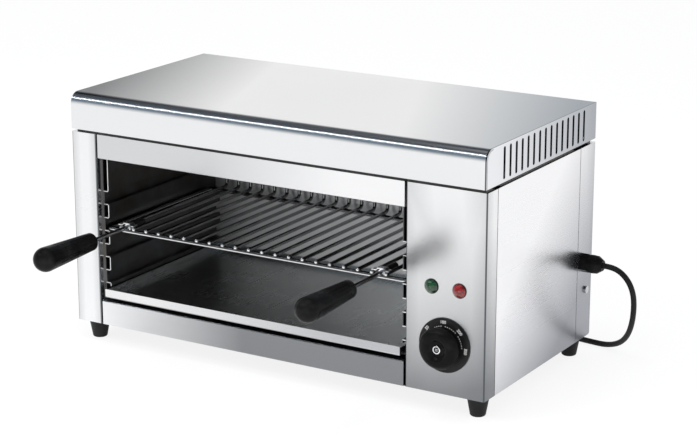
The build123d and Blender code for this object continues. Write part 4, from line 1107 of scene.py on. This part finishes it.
@dataclass
class Supply:
    """Gland, lead and plug; route and the coil's lengths are in millimetres."""

    shop: Workshop
    radius: float = 3.5 * MM
    coil_r: float = 47.0
    coil_step: float = 7.5
    coil_turns: int = 5
    coil_at: tuple = (150.0, 303.0)
    per_turn: int = 16
    climb: float = 0.5
    coil_exit: float = 18.0
    swell: float = 1.0195
    ribs: int = 24
    rib_x: float = 303.5 * MM
    rib_r: float = 10.8 * MM
    rib: tuple = (9.0 * MM, 1.1 * MM, 1.1 * MM)
    route: tuple = (
        (317.0, 198.0, 124.0), (328.5, 198.0, 124.0), (341.0, 198.0, 119.3),
        (351.3, 198.4, 109.0), (356.8, 200.5, 94.0), (356.0, 206.0, 75.0),
        (350.5, 215.0, 51.0), (339.5, 228.0, 29.0), (323.5, 241.5, 12.5),
        (302.0, 251.0, 3.5), (278.0, 253.5, 3.5), (250.0, 257.5, 3.5),
        (218.0, 259.2, 3.5), (186.0, 256.0, 3.5), (157.0, 256.0, 3.5),
    )

    def coil(self) -> list[tuple[float, float, float]]:
        """The coil's points, wound in and out again in two layers."""
        points = []
        steps = self.per_turn * self.coil_turns
        for i in range(1, steps):
            t = i / self.per_turn
            radius = self.swell * (self.coil_r - self.coil_step * min(t, self.coil_turns - t))
            rise = (t - self.coil_turns / 2) / self.climb + 0.5
            rise = min(max(rise, 0.0), 1.0)
            height = self.radius / MM + self.coil_step * rise * rise * (3 - 2 * rise)
            a = -math.pi / 2 - 2 * math.pi * t
            x, y = self.coil_at
            points.append((x + radius * math.cos(a), y + radius * math.sin(a), height))
        return points

    def cord(self) -> bpy.types.Object:
        """The lead as one smooth curve, from the gland to the plug."""
        x, y = self.coil_at
        top = self.radius / MM + self.coil_step
        points = [*self.route, (x, y - self.coil_r, self.radius / MM), *self.coil(),
                  (x, y - self.coil_r, top), (x - self.coil_exit, y - self.coil_r, top)]
        curve = bpy.data.curves.new("mains_lead", "CURVE")
        curve.dimensions = "3D"
        curve.bevel_depth = self.radius
        curve.bevel_resolution = 5
        curve.resolution_u = 6
        curve.use_fill_caps = True
        spline = curve.splines.new("NURBS")
        spline.points.add(len(points) - 1)
        for place, point in zip(spline.points, points):
            place.co = (*(c * MM for c in point), 1.0)
        spline.order_u = 3
        spline.use_endpoint_u = True
        curve.materials.append(self.shop.finish(RUBBER))
        piece = new_object("mains_lead", curve)
        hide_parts("cord_lead", "cord_coil")
        return self.shop.add(piece, "case", "rubber")

    def build(self) -> None:
        """Make the lead, the plug and the gland."""
        shop = self.shop
        shop.smooth("cable_gland", "gland_cap", PLASTIC, "black_plastic")
        _, y, z = self.route[0]
        ribs = shop.ring.make(
            "gland_ribs", shop.finish(PLASTIC), Count=self.ribs, Step=(0.0, 0.0, self.rib_r),
            Size=self.rib, Start=(self.rib_x, y * MM, z * MM))
        shop.add(ribs, "case", "black_plastic")
        plug = shop.smooth("plug_body", "plug_moulded", PLASTIC, "black_plastic")
        pins = shop.smooth("plug_pins", "plug_pins_plated", BRASS, "brass")
        lead = self.cord()
        shop.dress(PLASTIC, "gland_nut")
        shop.dress(RUBBER, "supply_tail")
        shop.dress(WIRE, "wiring")
        shop.dress(COPPER, "sensing_bulb")


# --- studio
@dataclass
class Studio:
    """Floor, backdrop, lamps and camera."""

    size: float = 12.0
    floor_glow: float = 0.85
    half_w: float = 0.29
    half_d: float = 0.142
    mid_y: float = 0.083
    reflected_shade: float = 0.55
    reflected_shade_reach: float = 0.45
    sky_glow: float = 0.85
    slate: tuple = (0.16, 0.22, 0.29)
    night: tuple = (0.05, 0.06, 0.075)
    zenith: tuple = (0.75, 0.76, 0.78)
    daylight: tuple = (0.95, 0.96, 1.0)
    lens: float = 108.43
    sensor: float = 36.0
    eye: tuple = (1.3131, -2.0502, 0.8760)
    right: tuple = (0.85607, 0.51686, -0.00045)
    ahead: tuple = (-0.49718, 0.82322, -0.27409)

    def build(self) -> None:
        """Set up everything that isn't part of the object."""
        self.floor()
        self.world()
        self.lamp("key", (-1.6, -2.2, 2.4), (0.0, 0.0, 0.15), 1.6, 38.0)
        self.lamp("fill", (2.4, -0.6, 1.6), (0.0, 0.0, 0.15), 1.4, 16.0)
        self.lamp("overhead", (0.0, -0.35, 2.2), (0.0, 0.0, 0.1), 0.5, 10.0)
        self.lamp("strip", (-1.4, -1.62, 2.25), (-1.4, 0.0, 0.3), 3.4, 11.0, 0.12)
        self.lamp("low front", (-0.5, -2.8, 0.4), (0.0, 0.2, 0.15), 0.8, 22.0)
        self.camera()

    def floor(self) -> None:
        """A wide white floor that keeps a faint shadow, dimmer near the casing in reflections."""
        mesh = bpy.data.meshes.new("floor")
        half = self.size
        corners = [(-half, -half, 0), (half, -half, 0), (half, half, 0), (-half, half, 0)]
        mesh.from_pydata(corners, [], [(0, 1, 2, 3)])
        floor = new_object("floor", mesh)
        material = bpy.data.materials.new("floor white")
        s = Shader(material)
        white = s.node("ShaderNodeBsdfDiffuse", {"Color": (0.94, 0.94, 0.94, 1)})
        glow = s.node("ShaderNodeEmission", {"Color": (*WHITE, 1), "Strength": 1.0})
        x, y, _ = s.position()
        beside = (abs(x) - self.half_w).clamp()
        before = (abs(y - self.mid_y) - self.half_d).clamp()
        away = (beside * beside + before * before) ** 0.5
        # painted shade on the floor near the casing, seen only in reflections
        near = s.ray("Glossy") * (1.0 - away.ramp(0.0, self.reflected_shade_reach)) * self.reflected_shade
        seen = self.seen(s) * self.floor_glow * (1.0 - near)
        layers = {0: seen, 1: white.outputs[0], 2: glow.outputs[0]}
        mixed = s.node("ShaderNodeMixShader", layers)
        s.node("ShaderNodeOutputMaterial", {"Surface": mixed.outputs[0]})
        mesh.materials.append(material)

    @staticmethod
    def seen(s: Shader) -> Sock:
        """One for camera, glossy and transmission rays, else zero."""
        return (s.ray("Camera") + s.ray("Glossy") + s.ray("Transmission")).clamp()

    def world(self) -> None:
        """A white room with a darker upper part for the metal to reflect."""
        world = bpy.data.worlds.new("studio")
        bpy.context.scene.world = world
        s = Shader(world)
        _, y, z = s.split(s.out("ShaderNodeTexCoord", {}, "Generated"))
        front = (y * -1.0).ramp(-0.15, 0.15)
        ahead = s.mix(z.ramp(0.02, 0.34), WHITE, self.slate)
        ahead = s.mix(z.ramp(0.62, 0.80), ahead, self.night)
        behind = s.mix(z.ramp(0.42, 0.72), WHITE, self.night)
        room = s.mix(front, behind, ahead)
        room = s.mix(z.ramp(0.88, 0.95), room, self.zenith)
        color = s.mix(s.ray("Glossy"), self.daylight, room)
        color = s.mix(s.ray("Camera"), color, WHITE)
        sky = s.node("ShaderNodeBackground", {"Color": color, "Strength": self.sky_glow})
        s.node("ShaderNodeOutputWorld", {"Surface": sky.outputs[0]})

    @staticmethod
    def lamp(name: str, at: tuple, to: tuple, size: float, power: float,
             high: float = 0.0) -> None:
        """A soft square lamp, or a slim strip that the metal reflects as a line.

        Args:
            name: The lamp's name.
            at: Its place.
            to: The point that it faces.
            size: Its side, or the strip's length.
            power: Its power in watts.
            high: The strip's height, or 0 for a square.
        """
        light = bpy.data.lights.new(name, "AREA")
        light.size = size
        light.energy = power
        if high:
            light.shape = "RECTANGLE"
            light.size_y = high
        lamp = new_object(name, light)
        lamp.location = at
        away = Vector(at) - Vector(to)
        lamp.rotation_euler = away.to_track_quat("Z", "Y").to_euler()
        lamp.visible_glossy = bool(high)

    def camera(self) -> None:
        """The camera at the photograph's angle."""
        data = bpy.data.cameras.new("camera")
        data.lens = self.lens
        data.sensor_width = self.sensor
        camera = new_object("camera", data)
        ahead = Vector(self.ahead).normalized()
        up = Vector(self.right).normalized().cross(ahead).normalized()
        right = ahead.cross(up)
        turn = Matrix((right, up, -ahead)).transposed().to_4x4()
        camera.matrix_world = Matrix.Translation(self.eye) @ turn
        bpy.context.scene.camera = camera


def main() -> None:
    """Load the frame, build each sub-assembly in order and log the pieces that each made."""
    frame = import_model()
    bpy.context.scene.view_settings.view_transform = "Standard"
    Studio().build()
    shop = Workshop(frame)
    parts = (Supply(shop), Casing(shop), Cavity(shop), Rack(shop), Handle(shop, "left"),
             Handle(shop, "right"), Controls(shop))
    for part in parts:
        before = len(shop.made)
        part.build()
        log.info("%s: %s", type(part).__name__, ", ".join(shop.made[before:]))


if __name__ == "__main__":
    logging.basicConfig(level=logging.INFO)
    main()
